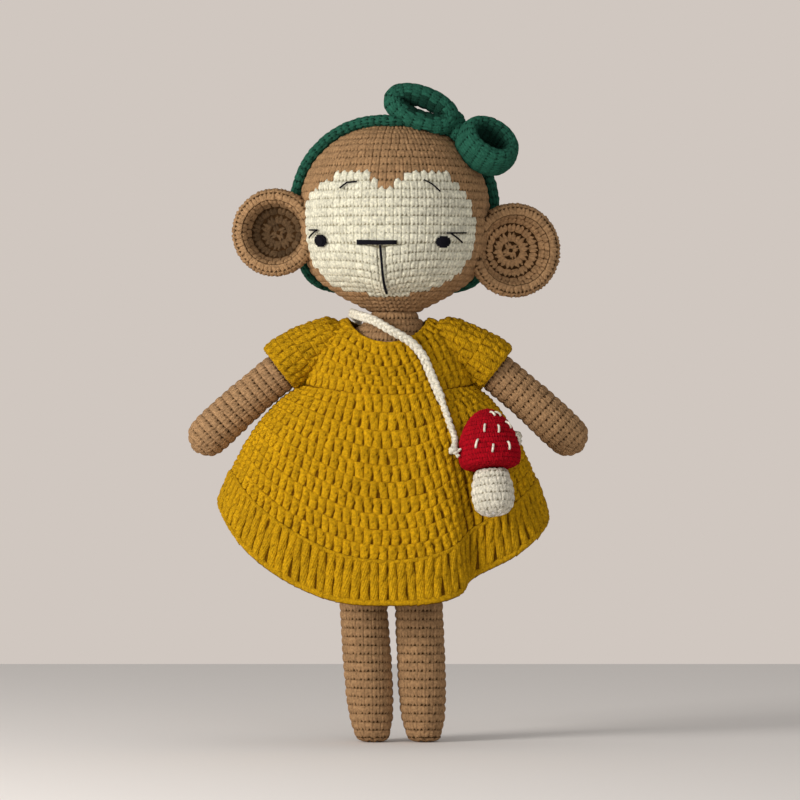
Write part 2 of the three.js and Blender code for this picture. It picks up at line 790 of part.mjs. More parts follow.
function neckPoint(sine, cosine) {
  const depth = cosine > 0 ? NECKLINE.front : NECKLINE.back;
  const drop = cosine > 0 ? NECKLINE.frontDrop : NECKLINE.backDrop;
  const radius = superRadius(sine, cosine, NECKLINE.width, depth, 2);
  return [radius, NECKLINE.top - drop * Math.abs(cosine) ** 1.5];
}

function waistPoint(sine, cosine) {
  const radius = superRadius(sine, cosine, WAIST.width, WAIST.depth, 2);
  return [radius, WAIST.front + (WAIST.side - WAIST.front) * Math.abs(sine) ** 3];
}

function hemPoint(sine, cosine) {
  const leftShare = (1 + sine) / 2;
  const width = HEM.right + (HEM.left - HEM.right) * leftShare;
  const depth = HEM.back + (HEM.front - HEM.back) * ((1 + cosine) / 2);
  const radius = superRadius(sine, cosine, width, depth, 2.4);
  const lift = HEM.sideLift - HEM.leftDrop * leftShare;
  return [radius, HEM.bottom + lift * Math.abs((radius * sine) / width) ** 2.8];
}

function foldShare(degrees) {
  return FOLDS.reduce((sum, [at, width, depth]) => {
    const away = ((degrees - at + 540) % 360) - 180;
    return sum + depth * Math.exp(-((away / width) ** 2));
  }, 0);
}

function bezier([r0, z0], [r1, z1], [r2, z2], t) {
  const a = (1 - t) ** 2;
  const b = 2 * t * (1 - t);
  const c = t ** 2;
  return [a * r0 + b * r1 + c * r2, a * z0 + b * z1 + c * z2];
}

function between([r0, z0], [r2, z2], outShare, downShare) {
  return [r0 + outShare * (r2 - r0), z0 + downShare * (z2 - z0)];
}

function dressPoint(degrees, t) {
  const angle = THREE.MathUtils.degToRad(degrees);
  const sine = Math.sin(angle);
  const cosine = Math.cos(angle);
  const waist = waistPoint(sine, cosine);
  let r;
  let z;
  if (t < 0) {
    const neck = neckPoint(sine, cosine);
    [r, z] = bezier(neck, between(neck, waist, 0.8, 0.25 + 0.2 * cosine ** 2), waist, 1 + t);
  } else {
    const hem = hemPoint(sine, cosine);
    [r, z] = bezier(waist, between(waist, hem, 0.62, 0.47 - 0.25 * sine ** 2), hem, t);
    r *= 1 - foldShare(degrees) * t ** 1.6;
  }
  return new THREE.Vector3(r * sine, -r * cosine, z);
}

function dressNormal(degrees, t) {
  const span = t < 0 ? [Math.max(t - 0.02, -1), Math.min(t + 0.02, -0.001)] : [Math.max(t - 0.02, 0), Math.min(t + 0.02, 1)];
  const around = dressPoint(degrees + 1, t).sub(dressPoint(degrees - 1, t));
  const up = dressPoint(degrees, span[0]).sub(dressPoint(degrees, span[1]));
  return around.cross(up).normalize();
}

function dressRing(t, lift, count) {
  const ring = [];
  for (let i = 0; i < count; i++) {
    const degrees = (360 * i) / count;
    ring.push(dressPoint(degrees, t).addScaledVector(dressNormal(degrees, t), lift));
  }
  return ring;
}

// A band of the dress between two lengths, from the outer face in by its thickness
function dressBand(lengths, count, lift = 0) {
  const outside = lengths.map((t) => dressRing(t, lift, count));
  const inside = [...lengths].reverse().map((t) => dressRing(t, -DRESS_WALL, count));
  return loft([...outside, ...inside], true);
}

function steps(from, to, count) {
  return Array.from({ length: count + 1 }, (_, i) => from + ((to - from) * i) / count);
}

function dress() {
  const group = new THREE.Group();
  const seamShare = HEM_SEAM / 95;
  const yokeShare = SEAM_GAP / 25;
  const armholes = [-1, 1].map((side) => {
    const pivot = new THREE.Vector3(side * ARM_PIVOT, 0, SHOULDER_HEIGHT);
    return ballAt(pivot, SLEEVE_RADIUS + ARMHOLE_GAP);
  });
  const sleeves = [...sleeveSpaces(-1), ...sleeveSpaces(1)];
  const yoke = dressBand(steps(-1, -yokeShare, 4), 36);
  const skirt = dressBand(steps(0, HEM_BAND_START, 6), 48);
  const band = dressBand(steps(HEM_BAND_START + seamShare, 1, 2), 48, HEM_BAND_EXTRA);
  group.add(
    piece("dress_yoke", cut(yoke, ...armholes, ...sleeves), COLOURS.mustard),
    piece("dress_skirt", skirt, COLOURS.mustard),
    piece("dress_hem", band, COLOURS.mustard),
  );
  return group;
}

// The dress's angle and length at a place in the front or back view
function dressPlace(x, z, isBack) {
  const lengthAt = (degrees) => {
    let near = -1;
    let far = 1;
    for (let i = 0; i < 30; i++) {
      const middle = (near + far) / 2;
      if (dressPoint(degrees, middle).z > z) near = middle;
      else far = middle;
    }
    return near;
  };
  let near = 0;
  let far = 89;
  const degreesAt = (away) => Math.sign(x) * (isBack ? 180 - away : away);
  for (let i = 0; i < 30; i++) {
    const middle = (near + far) / 2;
    const degrees = degreesAt(middle);
    if (Math.abs(dressPoint(degrees, lengthAt(degrees)).x) < Math.abs(x)) near = middle;
    else far = middle;
  }
  return { degrees: degreesAt(near), t: lengthAt(degreesAt(near)) };
}

function onDress(x, z, isBack, lift) {
  const { degrees, t } = dressPlace(x, z, isBack);
  return dressPoint(degrees, t).addScaledVector(dressNormal(degrees, t), lift);
}

// Mushroom bag, in its own frame with the origin below the middle of the cap
function capOutline() {
  const r = CAP_RADIUS;
  const h = CAP_HEIGHT;
  return [
    [0, 0],
    [r * 0.6, 0],
    [r * 0.9, h * 0.035],
    [r, h * 0.16],
    [r * 0.985, h * 0.34],
    [r * 0.87, h * 0.58],
    [r * 0.64, h * 0.8],
    [r * 0.32, h * 0.955],
    [0, h],
  ];
}

function stemOutline() {
  const r = STEM_RADIUS;
  const l = STEM_LENGTH;
  return [
    [0, -l],
    [r * 0.5, -l * 0.985],
    [r * 0.86, -l * 0.86],
    [r, -l * 0.6],
    [r * 0.95, -l * 0.34],
    [r * 0.82, -l * 0.12],
    [r * 0.76, -SEAM_GAP - 0.8],
    [r * 0.68, -SEAM_GAP],
    [0, -SEAM_GAP],
  ];
}

function capRadiusAt(z) {
  const outline = capOutline();
  const above = outline.findIndex(([, height], i) => i > 1 && height >= z);
  const [r1, z1] = outline[above];
  const [r0, z0] = outline[above - 1];
  return r0 + ((z - z0) / (z1 - z0)) * (r1 - r0);
}

function onCap(degrees, z, lift) {
  const at = (angle, height) => {
    const a = THREE.MathUtils.degToRad(angle);
    const r = capRadiusAt(height);
    return new THREE.Vector3(r * Math.sin(a), -r * BAG_DEPTH_RATIO * Math.cos(a), height);
  };
  const along = at(degrees + 2, z).sub(at(degrees - 2, z));
  const up = at(degrees, z + 0.5).sub(at(degrees, z - 0.5));
  return at(degrees, z).addScaledVector(along.cross(up).normalize(), lift);
}

function spotStitch([[angle0, z0], [angle1, z1]]) {
  const lift = TRIM_LIFT + SPOT_THREAD;
  const points = [0, 0.5, 1].map((share) => {
    const degrees = angle0 + share * (angle1 - angle0);
    return onCap(degrees, z0 + share * (z1 - z0), lift + 0.25 * Math.sin(Math.PI * share));
  });
  return cordAlong(points, SPOT_THREAD, 4, 6);
}

function bag() {
  const group = new THREE.Group();
  const capSkin = flipped(skinOutline(flipped(capOutline()), BAG_WALL, CAP_MOUTH));
  const capFilling = inset(capOutline(), BAG_WALL + FILL_GAP);
  const stemSkin = skinOutline(stemOutline(), BAG_WALL, CAP_MOUTH);
  const stemFilling = inset(stemOutline(), BAG_WALL + FILL_GAP);
  group.add(
    piece("bag_cap", formFrom(capSkin, uprightRing(18, BAG_DEPTH_RATIO)), COLOURS.red),
    piece("bag_cap_stuffing", formFrom(capFilling, uprightRing(12, BAG_DEPTH_RATIO)), COLOURS.fibre),
    piece("bag_stem", formFrom(stemSkin, uprightRing(16, BAG_DEPTH_RATIO)), COLOURS.white),
    piece("bag_stem_stuffing", formFrom(stemFilling, uprightRing(12, BAG_DEPTH_RATIO)), COLOURS.fibre),
  );
  SPOTS.forEach((spot, i) => {
    group.add(piece("cap_stitch_" + (i + 1), spotStitch(spot), COLOURS.white));
  });
  placeBag(group);
  return group;
}

// The bag hangs against the skirt, leaning back with its slope.
function placeBag(group) {
  const [x, z] = BAG_CENTRE;
  const reach = STEM_RADIUS * BAG_DEPTH_RATIO;
  const low = onDress(x, z - STEM_LENGTH * 0.7, false, reach + 2);
  const high = onDress(x, z + CAP_HEIGHT * 0.45, false, CAP_RADIUS * BAG_DEPTH_RATIO + 2);
  const slope = Math.atan2(high.y - low.y, high.z - low.z);
  const share = (z - low.z) / (high.z - low.z);
  group.position.set(x, low.y + share * (high.y - low.y), z);
  group.rotation.set(-slope, THREE.MathUtils.degToRad(-BAG_LEAN), 0);
  group.updateMatrixWorld(true);
  const overshoot = ["bag_cap", "bag_stem"].map((name) => {
    const corners = group.getObjectByName(name).geometry.getAttribute("position");
    let most = -Infinity;
    for (let i = 0; i < corners.count; i++) {
      const corner = group.localToWorld(new THREE.Vector3().fromBufferAttribute(corners, i));
      if (corner.y > group.position.y) {
        most = Math.max(most, corner.y - onDress(corner.x, corner.z, false, 0).y);
      }
    }
    return most;
  });
  group.position.y -= Math.max(...overshoot) + BAG_GAP;
  group.updateMatrixWorld(true);
}

function knotPoint(group, side) {
  const [degrees, z] = KNOT_PLACES[side];
  return group.localToWorld(onCap(degrees, z, SEAM_GAP + KNOT_RADIUS));
}

function strapKnot(centre) {
  const knot = new THREE.SphereGeometry(KNOT_RADIUS, 10, 8);
  return knot.translate(centre.x, centre.y, centre.z);
}

// The strap's route over the dress. It leaves the dress at its first and last points here, where the
// two ends that carry the bag bend when the bag swings.
function strapRoute() {
  const lift = TRIM_LIFT + STRAP_RADIUS;
  const front = [
    [23.5, 156.4],
    [18.4, 168.4],
    [14.7, 177],
    [9.2, 183.2],
  ].map(([x, z]) => onDress(x, z, false, lift));
  const shoulder = [
    [1.5, -20.6, 189.2],
    [-6.5, -17.8, 193.8],
    [-13.2, -10, 196.7],
    [-16.6, 0, 198.2],
    [-15.5, 10, 196.8],
  ].map((point) => new THREE.Vector3(...point));
  const back = [
    [-10, 186],
    [-2, 178],
    [8, 169],
    [19, 160],
    [31, 151],
    [42, 145],
    [52, 141],
    [58, 139.5],
  ].map(([x, z]) => onDress(x, z, true, lift));
  return [...front, ...shoulder, ...back, onDress(57.5, 139.5, false, lift)];
}

function frontEndRoute(knot) {
  const lift = TRIM_LIFT + STRAP_RADIUS;
  const onWay = [
    [29.6, 138.5],
    [27.1, 146.3],
  ].map(([x, z]) => onDress(x, z, false, lift));
  return [knot, ...onWay, strapRoute()[0]];
}

// Shortens a route at both of its ends.
function trimmed(points, startTrim, endTrim) {
  const route = points.map((point) => point.clone());
  const toward = (point, other, distance) => {
    point.addScaledVector(other.clone().sub(point).normalize(), distance);
  };
  const last = route.length - 1;
  toward(route[0], route[1], startTrim);
  toward(route[last], route[last - 1], endTrim);
  return route;
}

function strap() {
  const route = trimmed(strapRoute(), STRAP_BEND_GAP, STRAP_BEND_GAP);
  return piece("strap", cordAlong(route, STRAP_RADIUS, 52, 8), COLOURS.white);
}

// The strap's two ends and their knots, which swing with the bag
function strapEnds(bagGroup) {
  const knots = [knotPoint(bagGroup, "right"), knotPoint(bagGroup, "left")];
  const knotTrim = KNOT_RADIUS + SEAM_GAP;
  const route = strapRoute();
  const front = trimmed(frontEndRoute(knots[0]), knotTrim, STRAP_BEND_GAP);
  const side = trimmed([knots[1], route[route.length - 1]], knotTrim, STRAP_BEND_GAP);
  return [
    piece("strap_end_right", cordAlong(front, STRAP_RADIUS, 6, 8), COLOURS.white),
    piece("strap_end_left", cordAlong(side, STRAP_RADIUS, 4, 8), COLOURS.white),
    piece("strap_knot_right", strapKnot(knots[0]), COLOURS.white),
    piece("strap_knot_left", strapKnot(knots[1]), COLOURS.white),
  ];
}

function torso() {
  const group = new THREE.Group();
  group.add(
    piece("torso_skin", torsoSkin(), COLOURS.tan),
    piece("torso_stuffing", torsoStuffing(), COLOURS.fibre),
  );
  return group;
}

// Where each moving group turns, before the doll is centred
function pivots() {
  const route = strapRoute();
  return {
    neck: new THREE.Vector3(NECK_SHIFT, 0, HEAD_BOTTOM),
    shoulder_right: new THREE.Vector3(-ARM_PIVOT, 0, SHOULDER_HEIGHT),
    shoulder_left: new THREE.Vector3(ARM_PIVOT, 0, SHOULDER_HEIGHT),
    hip_right: hip(-1),
    hip_left: hip(1),
    bag_right: route[0],
    bag_left: route[route.length - 1],
  };
}

// Stands the finished doll with the middle of its base at the origin.
function centred(group) {
  const box = new THREE.Box3().setFromObject(group, true);
  const centre = box.getCenter(new THREE.Vector3());
  group.position.set(-centre.x, -centre.y, -box.min.z);
  group.userData.pivots = pivots();
  Object.values(group.userData.pivots).forEach((point) => point.add(group.position));
  return group;
}

function doll() {
  const group = new THREE.Group();
  const bagGroup = bag();
  group.add(
    head(),
    torso(),
    leg(-1, "right", LEG_LEAN_RIGHT),
    leg(1, "left", LEG_LEAN_LEFT),
    arm(-1, "right"),
    arm(1, "left"),
    dress(),
    strap(),
    bagGroup,
    ...strapEnds(bagGroup),
  );
  return centred(group);
}

export default doll();
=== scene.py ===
"""Crocheted monkey doll with a headband, a dress and a mushroom bag.

Every skin is worked stitch by stitch over the form that it covers, in rounds as it is crocheted. Sizes in the
classes are in millimetres in the doll's own frame. The doll faces -Y, and +X is its own left.
"""

import json
import logging
import math
import random
from dataclasses import dataclass, field, replace
from enum import Enum
from itertools import pairwise
from typing import Callable, Iterable, Optional, Sequence, Union

import bmesh
import bpy
from mathutils import Matrix, Vector, noise

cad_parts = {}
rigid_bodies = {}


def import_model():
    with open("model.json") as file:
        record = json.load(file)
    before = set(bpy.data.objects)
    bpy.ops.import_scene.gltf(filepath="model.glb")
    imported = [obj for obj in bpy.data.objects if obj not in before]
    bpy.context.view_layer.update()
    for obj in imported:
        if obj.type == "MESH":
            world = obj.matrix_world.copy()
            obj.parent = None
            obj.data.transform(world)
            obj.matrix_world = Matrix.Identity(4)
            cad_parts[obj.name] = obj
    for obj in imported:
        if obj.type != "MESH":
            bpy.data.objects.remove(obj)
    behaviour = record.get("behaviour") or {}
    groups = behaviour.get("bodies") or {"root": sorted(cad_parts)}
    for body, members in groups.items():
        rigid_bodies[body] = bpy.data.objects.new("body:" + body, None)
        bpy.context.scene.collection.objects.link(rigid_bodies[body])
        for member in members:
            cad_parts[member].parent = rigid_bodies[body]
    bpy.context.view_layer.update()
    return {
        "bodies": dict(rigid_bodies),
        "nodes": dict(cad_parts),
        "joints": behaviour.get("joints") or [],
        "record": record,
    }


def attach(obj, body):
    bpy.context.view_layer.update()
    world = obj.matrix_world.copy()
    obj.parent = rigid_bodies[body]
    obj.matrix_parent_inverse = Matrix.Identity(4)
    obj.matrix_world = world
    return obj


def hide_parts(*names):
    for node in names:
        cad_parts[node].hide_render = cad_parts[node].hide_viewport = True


LOG = logging.getLogger("doll")
MM = 0.001
STAND = Vector((0.0, 4.48, 0.0))
Point = tuple[float, float]
Outline = Sequence[Point]
Keep = Callable[[Vector], bool]
Value = Union[bpy.types.NodeSocket, float, tuple[float, ...]]


class Side(Enum):
    """The doll's own right and left."""

    RIGHT = -1
    LEFT = 1

    @property
    def label(self) -> str:
        """The side's name, as the nodes use it."""
        return self.name.lower()


class Stitch(Enum):
    """The stitches that the doll is worked in."""

    SINGLE = "single"
    POST = "post"
    RIB = "rib"
    CHAIN = "chain"
    TOOTH = "tooth"


def smooth(value: float, low: float, high: float) -> float:
    """Rises smoothly from 0 at low to 1 at high."""
    share = min(max((value - low) / (high - low), 0.0), 1.0)
    return share * share * (3 - 2 * share)


def bell(value: float, middle: float, width: float) -> float:
    """A smooth hump of height 1."""
    return math.exp(-(((value - middle) / width) ** 2))


def linear(code: str) -> tuple[float, float, float]:
    """Turns a colour written as six hex digits into scene values.

    Args:
        code: Red, green and blue, two digits each.

    Returns:
        The three linear values.
    """
    values = [int(code[i : i + 2], 16) / 255 for i in (0, 2, 4)]
    return tuple(v / 12.92 if v <= 0.04045 else ((v + 0.055) / 1.055) ** 2.4 for v in values)


def split(end: float, count: int) -> list[float]:
    """The edges of equal rounds from 0 to an end."""
    return [end * k / count for k in range(count + 1)]


def arc(radius: float, middle: float, degrees: float) -> tuple[float, float]:
    """The point of an outline that lies on a ball around a height."""
    angle = math.radians(degrees)
    return radius * math.cos(angle), middle + radius * math.sin(angle)


def running(points: Sequence[Vector]) -> list[float]:
    """The length of a line up to each of its points."""
    lengths = [0.0]
    for a, b in pairwise(points):
        lengths.append(lengths[-1] + (b - a).length)
    return lengths


def set_inputs(node: bpy.types.Node, values: dict[str, object]) -> None:
    """Gives a node's inputs their values."""
    for name, value in values.items():
        node.inputs[name].default_value = value


def yarn_bmesh() -> bmesh.types.BMesh:
    """Starts a mesh that carries what the yarn's material reads: plies, relief for the painted shade between
    stitches, and each stitch's random tone with its painted shading.
    """
    bm = bmesh.new()
    bm.loops.layers.uv.new("yarn")
    bm.verts.layers.float.new("relief")
    bm.verts.layers.float.new("tint")
    return bm


def as_mesh(bm: bmesh.types.BMesh, name: str, rounded: bool = True) -> bpy.types.Mesh:
    """Ends the editing of a mesh, and shades all its faces smooth or leaves them as they are."""
    for face in bm.faces:
        face.smooth = rounded or face.smooth
    mesh = bpy.data.meshes.new(name)
    bm.to_mesh(mesh)
    bm.free()
    return mesh


def add_object(name: str, data: bpy.types.ID) -> bpy.types.Object:
    """Puts a mesh, a lamp or a camera in the scene."""
    made = bpy.data.objects.new(name, data)
    bpy.context.scene.collection.objects.link(made)
    return made


@dataclass(frozen=True)
class Yarn:
    """A crochet yarn: its colour on top of a stitch, a darker colour painted deep between stitches as painted
    shade, and its fuzz.
    """

    # Relief over which the painted shade of the gaps gives way to the colour on top.
    GAP_TO_TOP = (0.08, 0.72)
    # Span of each stitch's random tone with its painted shading, and the lightness that it gives; the low end
    # is painted shade.
    TINTS = (-3.0, 1.0)
    TINT_LIGHT = (0.16, 1.22)
    HEATHER = (0.3, 0.7)
    HEATHER_LIGHT = (0.76, 1.18)
    PLY_ANGLE = 38.0

    name: str
    colour: str
    # Painted shade: the colour painted deep between stitches, where shade falls.
    shade: str
    slot: str
    sheen: float = 0.12
    fuzz: float = 0.6
    plies: float = 3.2

    def material(self) -> bpy.types.Material:
        """Returns the yarn's material, made once."""
        found = bpy.data.materials.get(self.name)
        return found or self._make()

    def _make(self) -> bpy.types.Material:
        """Builds the nodes: heathered colour, painted shade in the gaps, plied strands and loose fibre."""
        material = bpy.data.materials.new(self.name)
        material.use_nodes = True
        tree = material.node_tree
        shader = tree.nodes["Principled BSDF"]
        set_inputs(shader, {"Roughness": 0.9, "Specular IOR Level": 0.08})
        set_inputs(shader, {"Sheen Weight": self.sheen, "Sheen Roughness": 0.5})
        set_inputs(shader, {"Sheen Tint": (*linear(self.colour), 1)})
        tree.links.new(self._colour(tree), shader.inputs["Base Color"])
        tree.links.new(self._bump(tree), shader.inputs["Normal"])
        return material

    def _noise(self, tree: bpy.types.NodeTree, size: float, detail: float) -> bpy.types.NodeSocket:
        """Returns a noise of about the given size in millimetres over the object."""
        place = tree.nodes.new("ShaderNodeTexCoord")
        cloud = tree.nodes.new("ShaderNodeTexNoise")
        set_inputs(cloud, {"Scale": 1000 / size, "Detail": detail})
        tree.links.new(place.outputs["Object"], cloud.inputs["Vector"])
        return cloud.outputs["Fac"]

    def _attribute(self, tree: bpy.types.NodeTree, name: str) -> bpy.types.NodeSocket:
        """Returns a value that the mesh carries."""
        node = tree.nodes.new("ShaderNodeAttribute")
        node.attribute_name = name
        return node.outputs["Fac"]

    def _mix(
        self, tree: bpy.types.NodeTree, kind: str, share: Value, first: Value, second: Value
    ) -> bpy.types.NodeSocket:
        """Mixes two colours, where each of the three values is a socket or a constant."""
        node = tree.nodes.new("ShaderNodeMix")
        node.data_type = "RGBA"
        node.blend_type = kind
        for index, value in ((0, share), (6, first), (7, second)):
            if isinstance(value, bpy.types.NodeSocket):
                tree.links.new(value, node.inputs[index])
            else:
                node.inputs[index].default_value = value
        return node.outputs[2]

    def _range(
        self,
        tree: bpy.types.NodeTree,
        value: bpy.types.NodeSocket,
        source: tuple[float, float],
        target: tuple[float, float],
        kind: str = "SMOOTHSTEP",
    ) -> bpy.types.NodeSocket:
        """Maps a value from one span to another."""
        node = tree.nodes.new("ShaderNodeMapRange")
        node.interpolation_type = kind
        set_inputs(node, dict(zip(("From Min", "From Max", "To Min", "To Max"), (*source, *target))))
        tree.links.new(value, node.inputs["Value"])
        return node.outputs["Result"]

    def _colour(self, tree: bpy.types.NodeTree) -> bpy.types.NodeSocket:
        """The yarn's colour: gaps are painted dark as painted shade, stitches differ a little at random and
        by their painted shading, and fibres heather it.
        """
        # gap is the painted shade between stitches, mixed in where the relief is low.
        top, gap = (*linear(self.colour), 1), (*linear(self.shade), 1)
        height = self._range(tree, self._attribute(tree, "relief"), self.GAP_TO_TOP, (0, 1))
        base = self._mix(tree, "MIX", height, gap, top)
        # Each stitch's random tone, made darker or lighter by its painted shade or painted light.
        tint = self._range(tree, self._attribute(tree, "tint"), self.TINTS, self.TINT_LIGHT, "LINEAR")
        tinted = self._mix(tree, "MULTIPLY", 1.0, base, tint)
        heather = self._range(tree, self._noise(tree, 1.1, 4.0), self.HEATHER, self.HEATHER_LIGHT)
        return self._mix(tree, "MULTIPLY", 1.0, tinted, heather)

    def _bump(self, tree: bpy.types.NodeTree) -> bpy.types.NodeSocket:
        """The plied strands along each stitch, with loose fibre on them."""
        uv = tree.nodes.new("ShaderNodeUVMap")
        uv.uv_map = "yarn"
        turn = tree.nodes.new("ShaderNodeMapping")
        set_inputs(turn, {"Rotation": (0, 0, math.radians(self.PLY_ANGLE))})
        plies = tree.nodes.new("ShaderNodeTexWave")
        set_inputs(plies, {"Scale": self.plies, "Distortion": 1.2, "Detail": 1.0})
        tree.links.new(uv.outputs["UV"], turn.inputs["Vector"])
        tree.links.new(turn.outputs["Vector"], plies.inputs["Vector"])
        strands = tree.nodes.new("ShaderNodeBump")
        set_inputs(strands, {"Strength": 0.45, "Distance": 0.5 * MM})
        tree.links.new(plies.outputs["Fac"], strands.inputs["Height"])
        fibre = tree.nodes.new("ShaderNodeBump")
        set_inputs(fibre, {"Strength": self.fuzz, "Distance": 0.8 * MM})
        tree.links.new(self._noise(tree, 0.7, 5.0), fibre.inputs["Height"])
        tree.links.new(strands.outputs["Normal"], fibre.inputs["Normal"])
        return fibre.outputs["Normal"]


# Each yarn's second colour is the painted shade deep between its stitches.
TAN = Yarn("tan_yarn", "a4805b", "38240f", "yarn_tan")
CREAM = Yarn("cream_yarn", "dfdac4", "938b70", "yarn_cream")
MUSTARD = Yarn("mustard_yarn", "c3930e", "654102", "yarn_mustard", fuzz=0.8)
GREEN = Yarn("green_yarn", "265a48", "0c261d", "yarn_green", sheen=0.25, fuzz=0.8)
RED = Yarn("red_yarn", "aa081a", "6a0510", "yarn_red", sheen=0.2, fuzz=0.9)
WHITE = Yarn("white_yarn", "dcd5c3", "857c64", "yarn_white")
BLACK = Yarn("black_thread", "131218", "070709", "thread_black", sheen=0.05, fuzz=0.2)
FIBRE = Yarn("fibre_filling", "f4f2ec", "d8d4ca", "fibre_filling", fuzz=0.9)


def make_piece(
    name: str, mesh: bpy.types.Mesh, yarn: Yarn, body: str, nodes: Iterable[str]
) -> bpy.types.Object:
    """Makes one piece of the doll.

    Args:
        name: The piece's name.
        mesh: Its shape, in metres in the doll's frame.
        yarn: What it is made of.
        body: The body that it moves with.
        nodes: The nodes that it stands for.

    Returns:
        The piece.
    """
    mesh.materials.append(yarn.material())
    piece = add_object(name, mesh)
    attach(piece, body)
    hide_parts(*nodes)
    return piece


@dataclass(frozen=True)
class Lobe:
    """One rounded bulge of yarn in a stitch, in shares of the stitch's width and height."""

    x: float
    y: float
    wide: float
    tall: float
    lean: float = 0.0
    height: float = 0.9

    def at(self, x: float, y: float) -> float:
        """Its height at a place."""
        turn = math.radians(self.lean)
        dx, dy = x - self.x, y - self.y
        across = dx * math.cos(turn) - dy * math.sin(turn)
        along = dx * math.sin(turn) + dy * math.cos(turn)
        return self.height * max(0, 1 - (across / self.wide) ** 2 - (along / self.tall) ** 2) ** 0.5

    def varied(self, chance: random.Random, much: float = 1.0) -> "Lobe":
        """The same bulge as another hand would pull it."""
        near = lambda value, share: value * chance.uniform(1 - share * much, 1 + share * much)
        x, y = self.x + chance.gauss(0, 0.02), self.y + chance.gauss(0, 0.02 * much)
        lean, height = self.lean + chance.gauss(0, 5 * much), near(self.height, 0.07)
        return Lobe(x, y, near(self.wide, 0.08), near(self.tall, 0.1), lean, height)

    def at_both_edges(self) -> tuple["Lobe", "Lobe"]:
        """The same bulge at both edges of a stitch."""
        return replace(self, x=-self.x), self


@dataclass(frozen=True)
class StitchPattern:
    """How a stitch is built: its bulges, the fabric between them, its pinholes, and its faces each way."""

    lobes: Sequence[Lobe]
    base: float
    faces: tuple[int, int]
    holes: Sequence[Lobe] = ()
    crowding: tuple[float, float] = (2.0, 1.5)


PATTERNS = {
    Stitch.SINGLE: StitchPattern(
        lobes=(
            Lobe(-0.24, 0.02, 0.25, 0.6, 12, 1.0),
            Lobe(0.24, 0.02, 0.25, 0.6, -12, 1.0),
            Lobe(0, 0.38, 0.7, 0.18, 0, 0.72),
        ),
        base=0.46,
        holes=(*Lobe(0.45, -0.3, 0.11, 0.16, 0, 0.95).at_both_edges(), Lobe(0, -0.33, 0.11, 0.13, 0, 0.85)),
        faces=(8, 7),
    ),
    Stitch.POST: StitchPattern(
        lobes=(
            Lobe(-0.06, 0.22, 0.46, 0.26, 32, 1.0),
            Lobe(0.03, -0.14, 0.46, 0.38, 8, 0.97),
            Lobe(0, 0.43, 0.7, 0.1, 0, 0.8),
        ),
        base=0.52,
        holes=(
            *Lobe(0.46, -0.1, 0.075, 0.34, 7, 0.95).at_both_edges(),
            Lobe(0, -0.45, 0.6, 0.08, 0, 0.72),
            Lobe(0.12, 0.12, 0.36, 0.07, -34, 0.5),
        ),
        faces=(8, 10),
        crowding=(2.1, 1.4),
    ),
    Stitch.RIB: StitchPattern(
        lobes=(
            Lobe(0.14, 0.36, 0.42, 0.2, -28, 0.95),
            Lobe(-0.04, 0.13, 0.46, 0.2, -28, 1.0),
            Lobe(-0.12, -0.12, 0.46, 0.2, -28, 1.0),
            Lobe(0.06, -0.36, 0.42, 0.2, -28, 0.95),
        ),
        base=0.56,
        holes=(
            *Lobe(0.46, 0.24, 0.07, 0.16, -14, 0.8).at_both_edges(),
            *Lobe(0.46, -0.22, 0.07, 0.2, 14, 0.9).at_both_edges(),
            Lobe(0, 0.03, 0.46, 0.05, -20, 0.42),
        ),
        faces=(8, 14),
        crowding=(2.2, 1.2),
    ),
    Stitch.CHAIN: StitchPattern(
        lobes=(Lobe(-0.2, 0, 0.3, 0.62, -24, 0.9), Lobe(0.24, 0, 0.3, 0.62, 24, 0.85)),
        base=0.5,
        faces=(7, 5),
    ),
    Stitch.TOOTH: StitchPattern(lobes=(Lobe(0, -0.1, 0.36, 0.6, 0, 1.0),), base=0.0, faces=(6, 6)),
}


